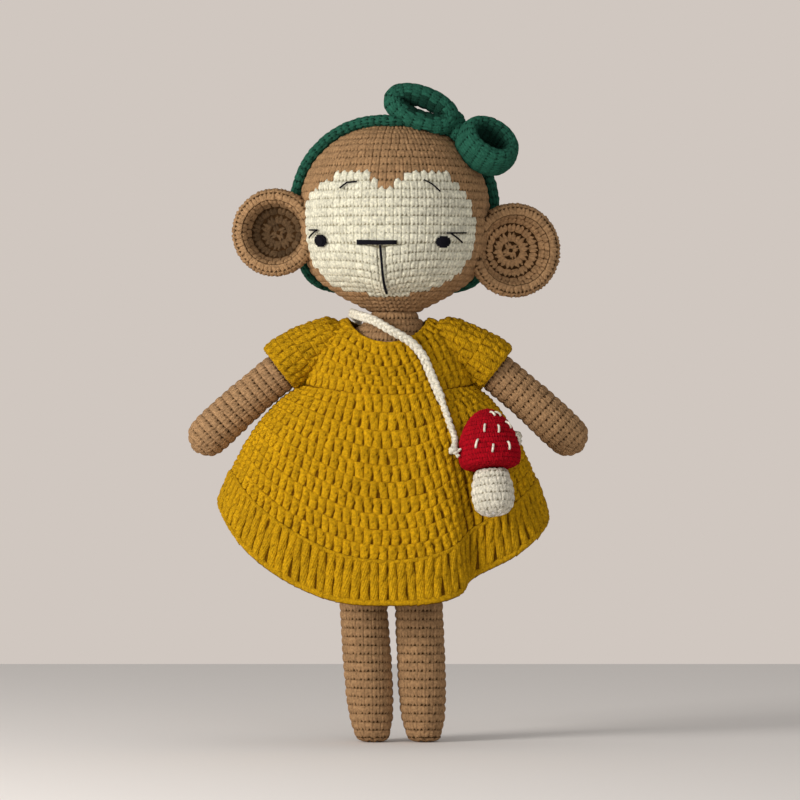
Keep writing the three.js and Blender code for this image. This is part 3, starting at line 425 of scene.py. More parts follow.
@dataclass
class StitchShapes:
    """Raised shapes for each stitch, a unit wide and tall, which every stitch on the doll copies."""

    SUNK = 0.2
    PIERCED = 0.15
    EDGE_POWER = 16

    variants: int = 8
    made: dict[tuple[Stitch, int], bpy.types.Mesh] = field(default_factory=dict)

    def shape(self, stitch: Stitch, variant: int) -> bpy.types.Mesh:
        """Returns one of the shapes of a stitch, made once."""
        key = (stitch, variant % self.variants)
        if key not in self.made:
            chance = random.Random(f"{stitch.value} {key[1]}")
            plan = PATTERNS[stitch]
            lobes = [lobe.varied(chance) for lobe in plan.lobes]
            holes = [hole.varied(chance, 2.0) for hole in plan.holes]
            self.made[key] = self._raised(stitch.value, replace(plan, lobes=lobes, holes=holes))
        return self.made[key]

    def _height(self, pattern: StitchPattern, x: float, y: float) -> float:
        """Height of a stitch at a place, both from -0.5 to 0.5. It falls off at its very edge."""
        hole = max((hole.at(x, y) for hole in pattern.holes), default=0)
        top = max(pattern.base, *(lobe.at(x, y) for lobe in pattern.lobes))
        edge_x, edge_y = (max(0, 1 - abs(2 * place) ** self.EDGE_POWER) ** 0.5 for place in (x, y))
        return top * (edge_x * edge_y) * (1 - hole) - self.PIERCED * hole - self.SUNK

    @staticmethod
    def _towards_edge(place: float, crowding: float) -> float:
        """Moves a grid line outwards, because a stitch bends most at its edge."""
        return math.copysign(0.5 - 0.5 * max(1 - abs(2 * place), 0) ** crowding, place)

    def _raised(self, name: str, pattern: StitchPattern) -> bpy.types.Mesh:
        """Raises a flat grid into a stitch.

        Args:
            name: Name of the stitch.
            pattern: How it is built.

        Returns:
            The stitch's mesh, with its height kept as the relief that the yarn's colour reads, so that its
            low places take the painted shade.
        """
        bm = yarn_bmesh()
        relief = bm.verts.layers.float["relief"]
        columns, rows = pattern.faces
        bmesh.ops.create_grid(bm, x_segments=columns, y_segments=rows, size=0.5, calc_uvs=True)
        for vert in bm.verts:
            x, y = (self._towards_edge(vert.co[i], pattern.crowding[i]) for i in (0, 1))
            vert.co = (x, y, self._height(pattern, x, y))
            # Low places, such as gaps and pinholes, get the painted shade of the yarn.
            vert[relief] = max(vert.co.z + self.SUNK, 0)
        return as_mesh(bm, name)


class Form:
    """A surface that stitches are worked over, placed by the turn around it and the way along it.

    Turn 0 is the front, and a turn of 0.25 is the doll's left. The side that faces out lies to the
    left of the way along, seen from the direction in which turn grows.
    """

    start: float = 0.0
    end: float = 1.0

    def point(self, turn: float, along: float) -> Vector:
        """The place at a share of a whole turn and a distance along."""
        raise NotImplementedError

    def out(self, turn: float, along: float, step: float = 0.004) -> Vector:
        """The direction out of the surface."""
        reach = (self.end - self.start) * step
        low, high = max(along - reach, self.start), min(along + reach, self.end)
        across = self.point(turn + step, along) - self.point(turn - step, along)
        up = self.point(turn, high) - self.point(turn, low)
        return across.cross(up).normalized()

    def lifted(self, turn: float, along: float, lift: float) -> Vector:
        """The place at a height above the surface."""
        return self.point(turn, along) + self.out(turn, along) * lift

    def ring(self, along: float, count: int = 96) -> tuple[list[float], float]:
        """Lengths around the surface.

        Args:
            along: Where the ring lies.
            count: Number of points that it is measured on.

        Returns:
            The running lengths at equal turns, and the whole length.
        """
        points = [self.point(i / count, along) for i in range(count)]
        lengths = running([*points, points[0]])
        return lengths, lengths[-1]

    def gap(self, low: float, high: float, lines: int = 8) -> float:
        """The mean distance between two rings, measured on some lines."""
        gaps = [(self.point(k / lines, high) - self.point(k / lines, low)).length for k in range(lines)]
        return sum(gaps) / lines

    def turns(self, along: float, count: int, phase: float = 0.0) -> list[float]:
        """Turns that share a ring into equal lengths, one more than count so that the last closes it."""
        lengths, whole = self.ring(along)
        found, i = [], 0
        for k in range(count + 1):
            goal = min(k / count, 1) * whole
            while i < len(lengths) - 2 and lengths[i + 1] < goal:
                i += 1
            span = max(lengths[i + 1] - lengths[i], 1e-9)
            found.append((i + (goal - lengths[i]) / span) / (len(lengths) - 1) + phase / count)
        return found


@dataclass
class Outlined(Form):
    """A stuffed form turned from an outline of [radius, height] points, from its low pole to its high one."""

    outline: Outline = ()
    depth_ratio: float = 1.0
    shift: Callable[[float], float] = lambda height: 0.0

    def __post_init__(self) -> None:
        """Rounds the outline and measures it."""
        self.line = self._rounded(self.outline)
        self.lengths = [0.0]
        for a, b in pairwise(self.line):
            self.lengths.append(self.lengths[-1] + math.dist(a, b))
        self.end = self.lengths[-1]

    @staticmethod
    def _rounded(outline: Outline, passes: int = 2) -> list[tuple[float, float]]:
        """Rounds an outline's corners, and keeps its ends."""
        line = list(outline)
        for _ in range(passes):
            cut = [line[0]]
            for (r0, z0), (r1, z1) in pairwise(line):
                cut += [(a * r0 + b * r1, a * z0 + b * z1) for a, b in ((0.75, 0.25), (0.25, 0.75))]
            line = [*cut, line[-1]]
        return line

    def at(self, along: float) -> tuple[float, float]:
        """Radius and height at a distance along the outline."""
        along = min(max(along, 0.0), self.end)
        low, high = 0, len(self.lengths) - 1
        while high - low > 1:
            middle = (low + high) // 2
            low, high = (middle, high) if self.lengths[middle] <= along else (low, middle)
        span = max(self.lengths[high] - self.lengths[low], 1e-9)
        share = (along - self.lengths[low]) / span
        (r0, z0), (r1, z1) = self.line[low], self.line[high]
        return r0 + share * (r1 - r0), z0 + share * (z1 - z0)

    def along_at(self, height: float) -> float:
        """Distance along the outline where it passes a height."""
        for i, ((_, z0), (_, z1)) in enumerate(pairwise(self.line)):
            if z0 <= height <= z1 and z1 > z0:
                return self.lengths[i] + (height - z0) / (z1 - z0) * (self.lengths[i + 1] - self.lengths[i])
        return self.end if height > self.line[-1][1] else 0.0

    def point(self, turn: float, along: float) -> Vector:
        """The place on the form."""
        radius, height = self.at(along)
        angle = 2 * math.pi * turn
        across = self.shift(height) + radius * math.sin(angle)
        return Vector((across, -radius * self.depth_ratio * math.cos(angle), height))


@dataclass(frozen=True)
class Gauge:
    """How rounds are worked.

    Attributes:
        kind: Which stitch.
        width: About how wide a stitch is.
        raised: How far a stitch stands out of the fabric.
        sink: How far the fabric lies below the surface.
        multiple: The count of stitches in a round is a multiple of this.
        drift: How many stitches each round starts further on than the round before.
        stagger: How many stitches every second round is shifted.
        spread: How much wider and taller a stitch is drawn than its share.
    """

    kind: Stitch
    width: float
    raised: float
    sink: float
    multiple: int = 1
    drift: float = 0.0
    stagger: float = 0.0
    spread: tuple[float, float] = (1.14, 1.2)


@dataclass
class Work:
    """Crochet in progress: stitches and the fabric under them, gathered in one mesh.

    Attributes:
        shapes: The stitches' shapes.
        seed: Start of the random draws.
        loose: How uneven the hand is.
        dim: How much darker a stitch is painted at a place, as painted shade, or how much lighter, as painted
            light, where it is below 0.
    """

    FEWEST = 4
    TINTS = (-0.35, 0.35)

    shapes: StitchShapes
    seed: int = 1
    loose: float = 0.06
    # Painted shade at a place; below 0 it is painted light.
    dim: Callable[[Vector], float] = lambda point: 0.0

    def __post_init__(self) -> None:
        """Starts an empty mesh."""
        self.bm = yarn_bmesh()
        self.relief = self.bm.verts.layers.float["relief"]
        self.chance = random.Random(self.seed)
        self.count = 0

    def stitch(self, kind: Stitch, place: Matrix) -> None:
        """Adds one stitch.

        Args:
            kind: Which stitch.
            place: Matrix whose columns are the stitch's width, height and thickness, and its middle.
        """
        shape = self.shapes.shape(kind, self.chance.randrange(self.shapes.variants)).copy()
        shape.transform(place)
        # Random tone, made darker by the painted shade at this place, or lighter by painted light.
        tint = self.chance.uniform(*self.TINTS) - self.dim(place.translation)
        shape.attributes["tint"].data.foreach_set("value", [tint] * len(shape.vertices))
        self.bm.from_mesh(shape)
        bpy.data.meshes.remove(shape)
        self.count += 1

    def round(
        self,
        form: Form,
        low: float,
        high: float,
        gauge: Gauge,
        keep: Optional[Keep] = None,
        phase: float = 0.0,
    ) -> None:
        """Works one round of stitches over a form.

        Args:
            form: The surface.
            low: Where the round starts along it.
            high: Where the round ends along it.
            gauge: How it is worked.
            keep: Tells by its middle if a stitch is made, or None for all.
            phase: Shift around, in stitches.
        """
        middle = (low + high) / 2
        whole = form.ring(middle)[1]
        count = max(gauge.multiple * round(whole / gauge.width / gauge.multiple), self.FEWEST)
        for first, second in pairwise(form.turns(middle, count, phase)):
            at = (first + second) / 2
            centre = form.point(at, middle)
            if keep is not None and not keep(centre):
                continue
            across = (form.point(second, middle) - form.point(first, middle)) * gauge.spread[0]
            up = (form.point(at, high) - form.point(at, low)) * gauge.spread[1]
            out = across.cross(up).normalized()
            self.stitch(gauge.kind, self._place(centre - out * gauge.sink, across, up, out * gauge.raised))

    def rounds(
        self,
        form: Form,
        edges: Sequence[float],
        gauge: Gauge,
        keep: Optional[Keep] = None,
        raised: Optional[Callable[[float, float], float]] = None,
    ) -> None:
        """Works rounds one after the other.

        Args:
            form: The surface.
            edges: Where the rounds start and end along it.
            gauge: How they are worked.
            keep: Tells by its middle if a stitch is made, or None for all.
            raised: How far a round's stitches stand out, by its start and end, or None for the gauge's.
        """
        for i, (low, high) in enumerate(pairwise(edges)):
            used = replace(gauge, raised=raised(low, high)) if raised else gauge
            self.round(form, low, high, used, keep, gauge.drift * i + gauge.stagger * (i % 2))

    def _place(self, centre: Vector, across: Vector, up: Vector, out: Vector) -> Matrix:
        """Returns a stitch's matrix, moved by hand as real stitches are: a little turned and uneven."""
        lean = Matrix.Rotation(self.chance.gauss(0, self.loose), 3, out)
        swell = self.chance.uniform(0.9, 1.1)
        broad = self.chance.uniform(1 - self.loose, 1 + self.loose)
        slip = up * self.chance.gauss(0, self.loose * 0.2)
        columns = [lean @ across * broad, lean @ up, out * swell, centre + slip]
        place = Matrix.Identity(4)
        for i, column in enumerate(columns):
            for j in range(3):
                place[j][i] = column[j]
        return place

    def fabric(
        self,
        form: Form,
        low: float,
        high: float,
        sink: float,
        around: int = 48,
        rows: int = 24,
        keep: Optional[Keep] = None,
    ) -> None:
        """Lays the fabric that shows between the stitches, which has no relief and so takes the painted shade
        of the gaps.

        Args:
            form: The surface.
            low: Where the fabric starts along it.
            high: Where it ends.
            sink: How far it lies below the surface.
            around: Faces around.
            rows: Faces along.
            keep: Tells by its middle if a face is kept, or None for all.
        """
        patch = yarn_bmesh()
        bmesh.ops.create_grid(patch, x_segments=around, y_segments=rows, size=0.5, calc_uvs=True)
        for vert in patch.verts:
            along = low + (vert.co.y + 0.5) * (high - low)
            vert.co = form.lifted(vert.co.x + 0.5, along, -sink)
        bmesh.ops.remove_doubles(patch, verts=patch.verts, dist=0.02)
        if keep is not None:
            left_out = [face for face in patch.faces if not keep(face.calc_center_median())]
            bmesh.ops.delete(patch, geom=left_out, context="FACES")
        mesh = as_mesh(patch, "fabric")
        self.bm.from_mesh(mesh)
        bpy.data.meshes.remove(mesh)

    def cord(self, points: Sequence[Vector], radius: float, sides: int = 6, closed: bool = False) -> None:
        """Lays a round thread along points.

        Args:
            points: The thread's middle line.
            radius: Its radius.
            sides: Faces around it.
            closed: Whether the last point joins the first.
        """
        rings = []
        count = len(points)
        side = Vector((0, 0, 1))
        for i, point in enumerate(points):
            before = points[i - 1] if closed or i else point
            after = points[(i + 1) % count] if closed or i + 1 < count else point
            ahead = (after - before).normalized()
            side = (side - ahead * side.dot(ahead)).normalized()
            ring = bmesh.ops.create_circle(self.bm, cap_ends=False, segments=sides, radius=radius)["verts"]
            turn = Matrix((side, ahead.cross(side), ahead)).transposed().to_4x4()
            bmesh.ops.transform(self.bm, matrix=Matrix.Translation(point) @ turn, verts=ring)
            for vert in ring:
                vert[self.relief] = 1.0
            rings.append(ring)
        for near, far in pairwise([*rings, rings[0]] if closed else rings):
            for k in range(sides):
                face = self.bm.faces.new((near[k], near[(k + 1) % sides], far[(k + 1) % sides], far[k]))
                face.smooth = True
        if not closed:
            self.bm.faces.new(list(reversed(rings[0])))
            self.bm.faces.new(rings[-1])

    def finish(
        self, name: str, yarn: Yarn, body: str, nodes: Iterable[str], place: Optional[Matrix] = None
    ) -> bpy.types.Object:
        """Ends the work as one piece of the doll.

        Args:
            name: The piece's name.
            yarn: What it is worked in.
            body: The body that it moves with.
            nodes: The nodes that it stands for.
            place: Where the work stands in the doll's frame.

        Returns:
            The finished object, in metres.
        """
        mesh = as_mesh(self.bm, name, rounded=False)
        stand = Matrix.Translation(STAND) @ (place or Matrix.Identity(4))
        mesh.transform(Matrix.Scale(MM, 4) @ stand)
        LOG.info("%s: %d stitches, %d faces", name, self.count, len(mesh.polygons))
        return make_piece(name, mesh, yarn, body, nodes)

    def stuffed(
        self,
        name: str,
        body: str,
        node: str,
        place: Optional[Matrix] = None,
        fill: float = 0.95,
        yarn: Yarn = TAN,
    ) -> None:
        """Ends the work as the skin of a stuffed piece; the fibre inside it is made apart.

        Args:
            name: The piece's name.
            body: The body that it moves with.
            node: The node that it stands for.
            place: Where the work stands in the doll's frame.
            fill: How much of its room the skin fills; not used.
            yarn: What it is worked in.
        """
        self.finish(name, yarn, body, [node], place)


@dataclass
class Filling:
    """Loose fibre inside a skin, a lumpy form just smaller than the skin."""

    LUMPS_PER_METRE = 260

    node: str
    body: str
    lump: float = 0.5
    gap: float = 0.35

    def build(self, frame: dict) -> bpy.types.Object:
        """Shapes the fibre from the room inside the skin.

        Args:
            frame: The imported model.

        Returns:
            The filling.
        """
        bm = bmesh.new()
        bm.from_mesh(frame["nodes"][self.node].data)
        bmesh.ops.remove_doubles(bm, verts=bm.verts, dist=1e-6)
        bmesh.ops.subdivide_edges(bm, edges=bm.edges, cuts=1, use_grid_fill=True, smooth=0.3)
        for vert in bm.verts:
            push = noise.noise(vert.co * self.LUMPS_PER_METRE) * self.lump - self.gap
            vert.co += vert.normal * push * MM
        name = self.node.replace("stuffing", "fibre")
        mesh = as_mesh(bm, name)
        for attribute, value in (("relief", 1.0), ("tint", 0.0)):
            layer = mesh.attributes.new(attribute, "FLOAT", "POINT")
            layer.data.foreach_set("value", [value] * len(mesh.vertices))
        mesh.uv_layers.new(name="yarn")
        piece = make_piece(name, mesh, FIBRE, self.body, [self.node])
        return piece


class Swept(Form):
    """A tube with an oval section along a middle line."""

    end = 1.0

    def __init__(self, frames: Sequence[tuple[Vector, Vector, Vector]], across: float, deep: float) -> None:
        """Keeps the tube's frames.

        Args:
            frames: Middle, first side and second side at equal steps from start to end.
            across: Half size along the first side.
            deep: Half size along the second side.
        """
        self.frames = list(frames)
        self.across = across
        self.deep = deep

    def ring(self, along: float, count: int = 24) -> tuple[list[float], float]:
        """Lengths around the tube, on few points because it is slim."""
        return super().ring(along, count)

    def point(self, turn: float, along: float) -> Vector:
        """The place on the tube."""
        at = min(max(along, 0.0), 1.0) * (len(self.frames) - 1)
        i = min(int(at), len(self.frames) - 2)
        centre, first, second = (a.lerp(b, at - i) for a, b in zip(self.frames[i], self.frames[i + 1]))
        angle = 2 * math.pi * turn
        return centre + first * self.across * math.cos(angle) + second * self.deep * math.sin(angle)


class HeadForm(Outlined):
    """The head, in its own frame with the origin at its middle and the face at -Y.

    The fan spreads the rounds over the stuffed face, and the mouth's line draws the muzzle in.
    """

    RADIUS = 44.0
    HALF_HEIGHT = 42.0
    DEPTH_RATIO = 0.98
    FAN = 0.03
    FAN_HEIGHT = -10.0
    MUZZLE = {"out": 2.0, "degrees": 30.0, "height": -24.0, "half_height": 13.0}
    MOUTH = {"degrees": 2.3, "dent": 1.3, "dent_degrees": 3.6, "dip": 3.4, "dip_degrees": 13.0}
    MOUTH_TOP = (14.0, 19.0)
    MOUTH_BOTTOM = (42.0, 33.0)
    CHIN = ((10.2, -47.8), (13.0, -46.4), (18.0, -43.9), (23.0, -41.3), (27.0, -39.2))

    def __init__(self) -> None:
        """Outlines the head: a squarer jaw below and a rounder crown above."""
        quarter = [math.radians(90 * i / 12) for i in range(13)]
        r, h = self.RADIUS, self.HALF_HEIGHT
        jaw = [(r * math.cos(a) ** (2 / 3), -h * math.sin(a) ** (2 / 3)) for a in quarter]
        crown = [(r * math.cos(a), h * math.sin(a)) for a in quarter]
        lower = [(r, z) for r, z in reversed(jaw) if r > self.CHIN[-1][0]]
        super().__init__(outline=[*self.CHIN, *lower[:-1], *crown], depth_ratio=self.DEPTH_RATIO)

    def side(self, point: Vector, lift: float = 0.0) -> float:
        """Below 0 inside the head and above 0 outside."""
        power = 2 if point.z > 0 else 3
        across = math.hypot(point.x, point.y / self.depth_ratio) / (self.RADIUS + lift)
        return across**power + (abs(point.z) / (self.HALF_HEIGHT + lift)) ** power - 1

    def angle_of(self, point: Vector) -> float:
        """Degrees around from the front towards the left."""
        return math.degrees(math.atan2(point.x, -point.y / self.depth_ratio))

    def _muzzle(self, degrees: float, height: float) -> tuple[float, float]:
        """How far the muzzle stands out, and how far its rounds dip, where the mouth is drawn in."""
        muzzle, mouth = self.MUZZLE, self.MOUTH
        away = ((degrees + 180) % 360) - 180 - mouth["degrees"]
        below = smooth(-height, *self.MOUTH_TOP) * smooth(-height, *self.MOUTH_BOTTOM)
        out = muzzle["out"] * bell(away, 0, muzzle["degrees"])
        out *= bell(height, muzzle["height"], muzzle["half_height"])
        dent = mouth["dent"] * bell(away, 0, mouth["dent_degrees"]) * below
        return out - dent, mouth["dip"] * math.exp(-abs(away) / mouth["dip_degrees"]) * below

    def point(self, turn: float, along: float) -> Vector:
        """The place on the head, with its muzzle. The rounds fan out over the stuffed face."""
        front = max(math.cos(2 * math.pi * turn), 0) ** 2
        middle = self.along_at(self.FAN_HEIGHT)
        fan = self.FAN * front * (along - middle) * smooth(along, 0, 14) * smooth(self.end - along, 0, 14)
        place = super().point(turn, along + fan)
        out, dip = self._muzzle(360 * turn, place.z)
        flat = Vector((place.x, place.y, 0)).normalized()
        return place + flat * out - Vector((0, 0, dip))

    def on(self, degrees: float, height: float, lift: float = 0.0) -> Vector:
        """The place on the face at an angle and a height, for what is sewn there."""
        out, dip = self._muzzle(degrees, height)
        along = self.along_at(height + dip)
        base = Outlined.point(self, degrees / 360, along)
        flat = Vector((base.x, base.y, 0)).normalized()
        return base + flat * out - Vector((0, 0, dip)) + self.out(degrees / 360, along) * lift


@dataclass(frozen=True)
class Notch:
    """Where the tan yarn dips into the face at the forehead: its tip and its upper corners."""

    tip_x: float = 3.6
    tip_z: float = 7.0
    right_x: float = -5.9
    left_x: float = 16.6
    top_z: float = 17.4

    def holds(self, point: Vector) -> bool:
        """Tells if a place lies in the notch."""
        rise = (point.z - self.tip_z) / (self.top_z - self.tip_z)
        right, left = (self.tip_x + rise * (x - self.tip_x) for x in (self.right_x, self.left_x))
        return rise > 0 and right < point.x < left


@dataclass
class Head:
    """The stuffed head: a tan crown and a cream face.

    Attributes:
        shapes: The stitches' shapes.
        form: The head's surface.
        middle: The head's middle in the doll's frame.
        turned: Degrees that the head is turned.
        row: Height of a round.
        gauge: How the rounds are worked.
        tooth: How the stitches are worked that reach up where the yarn changes.
        tooth_span: Where such a stitch starts and ends in its round, as shares of the round's height.
        lowest_tooth: Height below which the yarns meet in a plain line.
        ear_rims: How far back the face reaches, in the doll's frame.
        face_rows: Height, right edge and left edge of the face, the edges in degrees from the front.
        notch: The dip at the forehead.
    """

    shapes: StitchShapes
    form: HeadForm = field(default_factory=HeadForm)
    middle: tuple[float, float, float] = (3.0, 0.0, 245.0)
    turned: float = -10.5
    row: float = 4.05
    gauge: Gauge = Gauge(Stitch.SINGLE, 3.75, 1.5, 1.2, multiple=6)
    tooth: Gauge = Gauge(Stitch.TOOTH, 3.75, 1.8, 1.1, multiple=6)
    tooth_span: Point = (-0.25, 0.45)
    lowest_tooth: float = -36.0
    ear_rims: float = -15.5
    face_rows: Sequence[tuple[float, float, float]] = (
        (-40, -20, 27),
        (-38, -48, 46),
        (-34.5, -68, 57),
        (-28.5, -73, 64),
        (-20, -75, 68),
        (-9.7, -75, 69),
        (-1.4, -72, 67),
        (5, -56, 59),
        (8.7, -46, 55),
        (12.4, -38, 51),
        (15.3, -32, 47),
    )
    notch: Notch = Notch()

    def __post_init__(self) -> None:
        """Works out where the head stands."""
        self.stand = Matrix.Translation(Vector(self.middle))
        self.place = self.stand @ Matrix.Rotation(math.radians(self.turned), 4, "Z")
        self.turn = self.place.to_3x3()
        self.aside = [Matrix.Rotation(math.radians(degrees), 3, "Z") for degrees in (-2.2, 0, 2.2)]

    def is_face(self, point: Vector) -> bool:
        """Tells if a place on the head is worked in cream, which ends at the ears' rims."""
        rows = self.face_rows
        if not rows[0][0] - 1.5 <= point.z <= rows[-1][0] + 0.3 or (self.turn @ point).y > self.ear_rims:
            return False
        height = min(max(point.z, rows[0][0]), rows[-1][0] - 1e-6)
        low, high = next(pair for pair in pairwise(rows) if pair[0][0] <= height < pair[1][0])
        share = (height - low[0]) / (high[0] - low[0])
        right, left = (low[k] + share * (high[k] - low[k]) for k in (1, 2))
        return right < self.form.angle_of(point) < left and not self.notch.holds(point)

    def is_crown(self, point: Vector) -> bool:
        """Tells if a place on the head is worked in tan."""
        return not self.is_face(point)

    def _down(self, point: Vector, rounds: float) -> Vector:
        """The place some rounds further down."""
        steep = math.sqrt(max(1 - (point.z / HeadForm.HALF_HEIGHT) ** 2, 0.1)) if point.z > 0 else 1.0
        return point - Vector((0, 0, self.row * 1.05 * steep * rounds))

    def _worked(self, seed: int, keep: Keep, other: Keep) -> Work:
        """Works the rounds of one yarn, with teeth that reach up where the other yarn follows above.

        Args:
            seed: Start of the random draws.
            keep: Tells where this yarn is worked.
            other: Tells where the other yarn is worked.

        Returns:
            The work.
        """
        form, work = self.form, Work(self.shapes, seed)
        held = lambda point: all(keep(turn @ self._down(point, 0.6)) for turn in self.aside)
        reaches = lambda point: other(self._down(point, -0.4)) and held(point)
        work.fabric(form, 0, form.end, sink=1.2, around=96, rows=64, keep=keep)
        for low, high in pairwise(split(form.end, round(form.end / self.row))):
            work.round(form, low, high, self.gauge, keep)
            if form.at(low)[1] > self.lowest_tooth:
                foot, tip = (low + share * (high - low) for share in self.tooth_span)
                work.round(form, foot, tip, self.tooth, reaches)
        return work

    def build(self) -> None:
        """Works the head in rounds from the neck up, changing yarn at the face."""
        crown = self._worked(3, self.is_crown, self.is_face)
        face = self._worked(4, self.is_face, self.is_crown)
        crown.stuffed("head_crochet", "head", "head_skin", self.place)
        face.finish("face_crochet", CREAM, "head", ["face_panel"], self.place)


@dataclass
class Face:
    """Eyes, lashes, brows, nose and mouth, sewn on in black thread.

    Places are degrees around from the front, and heights.
    """

    STEPS = 6
    EYE_STRANDS = 7
    EYE_LAYERS = 2
    EYE_TAPER = 0.25

    head: Head
    nose_height: float = -16.0
    nose_angles: tuple[float, float] = (-11.8, 11.7)
    mouth_bottom: float = -38.2
    thread: float = 0.4
    eye_thread: float = 0.55
    nose_thread: float = 0.54
    mouth_thread: float = 0.62
    lift: float = 0.75
    slack: float = 0.35

    def _line(self, work: Work, places: Outline, radius: float, lift: float = 0.0) -> None:
        """Sews a line through places, which stands out most in its middle."""
        points, steps = [], self.STEPS
        for (a0, z0), (a1, z1) in pairwise(places):
            points += [(a0 + (a1 - a0) * k / steps, z0 + (z1 - z0) * k / steps) for k in range(steps)]
        points.append(places[-1])
        last = len(points) - 1
        rise = [self.lift + lift + self.slack * math.sin(math.pi * i / last) for i in range(last + 1)]
        work.cord([self.head.form.on(a, z, rise[i]) for i, (a, z) in enumerate(points)], radius)

    def _eye(self, name: str, degrees: float, at: float, wide: float, tall: float) -> None:
        """Sews an eye as a pad of close stitches."""
        work = Work(self.head.shapes)
        for layer in range(self.EYE_LAYERS):
            for k in range(self.EYE_STRANDS):
                share = (k + 0.5) / self.EYE_STRANDS * 2 - 1
                half = math.sqrt(1 - share * share)
                reach = math.degrees(wide * half * (0.9 - self.EYE_TAPER * layer) / self.head.form.RADIUS)
                height = at + share * tall * (1 - self.EYE_TAPER * layer)
                ends = [(degrees - reach, height), (degrees + reach, height)]
                self._line(work, ends, self.eye_thread, 0.5 * layer)
        work.finish(f"{name}_thread", BLACK, "head", [name], self.head.place)

    def _thread(self, name: str, *lines: Outline, radius: float = 0.0) -> None:
        """Sews lines of thread as one piece."""
        work = Work(self.head.shapes)
        for line in lines:
            # Painted shade darkens the right ear's hollow, and painted light lightens the left ear's hollow.
            self._line(work, line, radius or self.thread)
        work.finish(f"{name}_thread", BLACK, "head", [name], self.head.place)

    def build(self) -> None:
        """Sews the whole face."""
        self._eye("eye_right", -39.6, -14.9, 4.4, 2.6)
        self._eye("eye_left", 40.4, -15.6, 4.1, 2.5)
        right, left = self.nose_angles
        bar = [[(right, self.nose_height + d), (left, self.nose_height + d * 0.7)] for d in (-0.6, 0.1, 0.75)]
        self._thread("nose_bar", *bar, radius=self.nose_thread)
        top = self.nose_height - 1.2
        drawn = [(1.9, top), (2.8, top - 8), (3.0, top - 15), (3.3, self.mouth_bottom)]
        self._thread("mouth_line", drawn, radius=self.mouth_thread)
        self._thread("lashes_right", [(-42, -10.0), (-51, -9.9)], [(-42.6, -10.2), (-51.8, -13.5)])
        self._thread("lashes_left", [(42.6, -11.6), (57.6, -11.4)], [(45.6, -11.8), (55, -15.8)])
        self._thread("brow_right", [(-24.4, 8.6), (-19.4, 11.0), (-13.2, 11.4)])
        self._thread("brow_left", [(28.4, 12.2), (33.4, 10.2), (38.4, 7.0)])


@dataclass
class Ear:
    """A cupped ear, worked from the middle of its back, over the rim and down into the cup.

    Attributes:
        head: The head that it is sewn on.
        side: Which ear.
        radius: Its radius.
        height: Height of its middle on the head.
        reach: How far out its middle stands.
        depth: From its back to its rim.
        back: How far back it stands.
        rim: Width of its rolled rim.
        floor: How far the cup's floor lies before its back.
        opens: Degrees that it opens to the side.
        shaded: How much darker its hollow is painted, as painted shade; below 0 the hollow is painted
            lighter, as painted light.
        flatter: How much less its stitches stand out in the hollow.
        gauge: How it is worked.
    """

    ROW = 4.0

    head: Head
    side: Side
    radius: float
    height: float
    reach: float = 53.0
    depth: float = 13.0
    back: float = 0.5
    rim: float = 7.6
    floor: float = 2.6
    opens: float = 12.0
    shaded: float = 2.6
    flatter: float = 0.7
    gauge: Gauge = Gauge(Stitch.SINGLE, 3.8, 1.5, 1.2, drift=0.4)

    def form(self) -> Outlined:
        """The cup, on its own axis, opening upwards."""
        r, d = self.radius, self.depth
        outline = [
            (0, 0),
            (r * 0.55, 0.6),
            (r * 0.86, 3.4),
            (r, 7.5),
            (r * 0.985, d - 2.2),
            (r - self.rim * 0.5, d),
            (r - self.rim * 0.9, d - 1.6),
            (r - self.rim, d - 4.5),
            (r * 0.45, self.floor + 0.7),
            (0, self.floor),
        ]
        return Outlined(outline=outline)

    def build(self) -> None:
        """Works the ear, except where it meets the head."""
        side, label = self.side.value, self.side.label
        local = Matrix.Translation((side * self.reach, self.back, self.height))
        local = local @ Matrix.Rotation(math.radians(side * self.opens), 4, "Z")
        local = local @ Matrix.Rotation(math.radians(90), 4, "X")
        hollow = self.radius - 0.8 * self.rim
        # Painted shade in the cup: stitches are painted darker towards the middle of the hollow, or lighter
        # as painted light where the setting is below 0.
        depth = lambda point: smooth(hollow - math.hypot(point.x, point.y), 0, 3.5)
        dim = lambda point: self.shaded * depth(point) * (point.z > 1.2)
        form, work = self.form(), Work(self.head.shapes, 11 + side, dim=dim)
        keep = lambda point: self.head.form.side(local @ point) > -0.02
        inside = lambda high: smooth(high, form.end - self.radius, form.end - 0.5 * self.radius)
        raised = lambda low, high: self.gauge.raised - self.flatter * inside(high)
        work.fabric(form, 0, form.end, sink=1.2, around=48, rows=36, keep=keep)
        work.rounds(form, split(form.end, round(form.end / self.ROW)), self.gauge, keep, raised)
        work.stuffed(f"ear_{label}_crochet", "head", f"ear_{label}", self.head.stand @ local, fill=0.5)


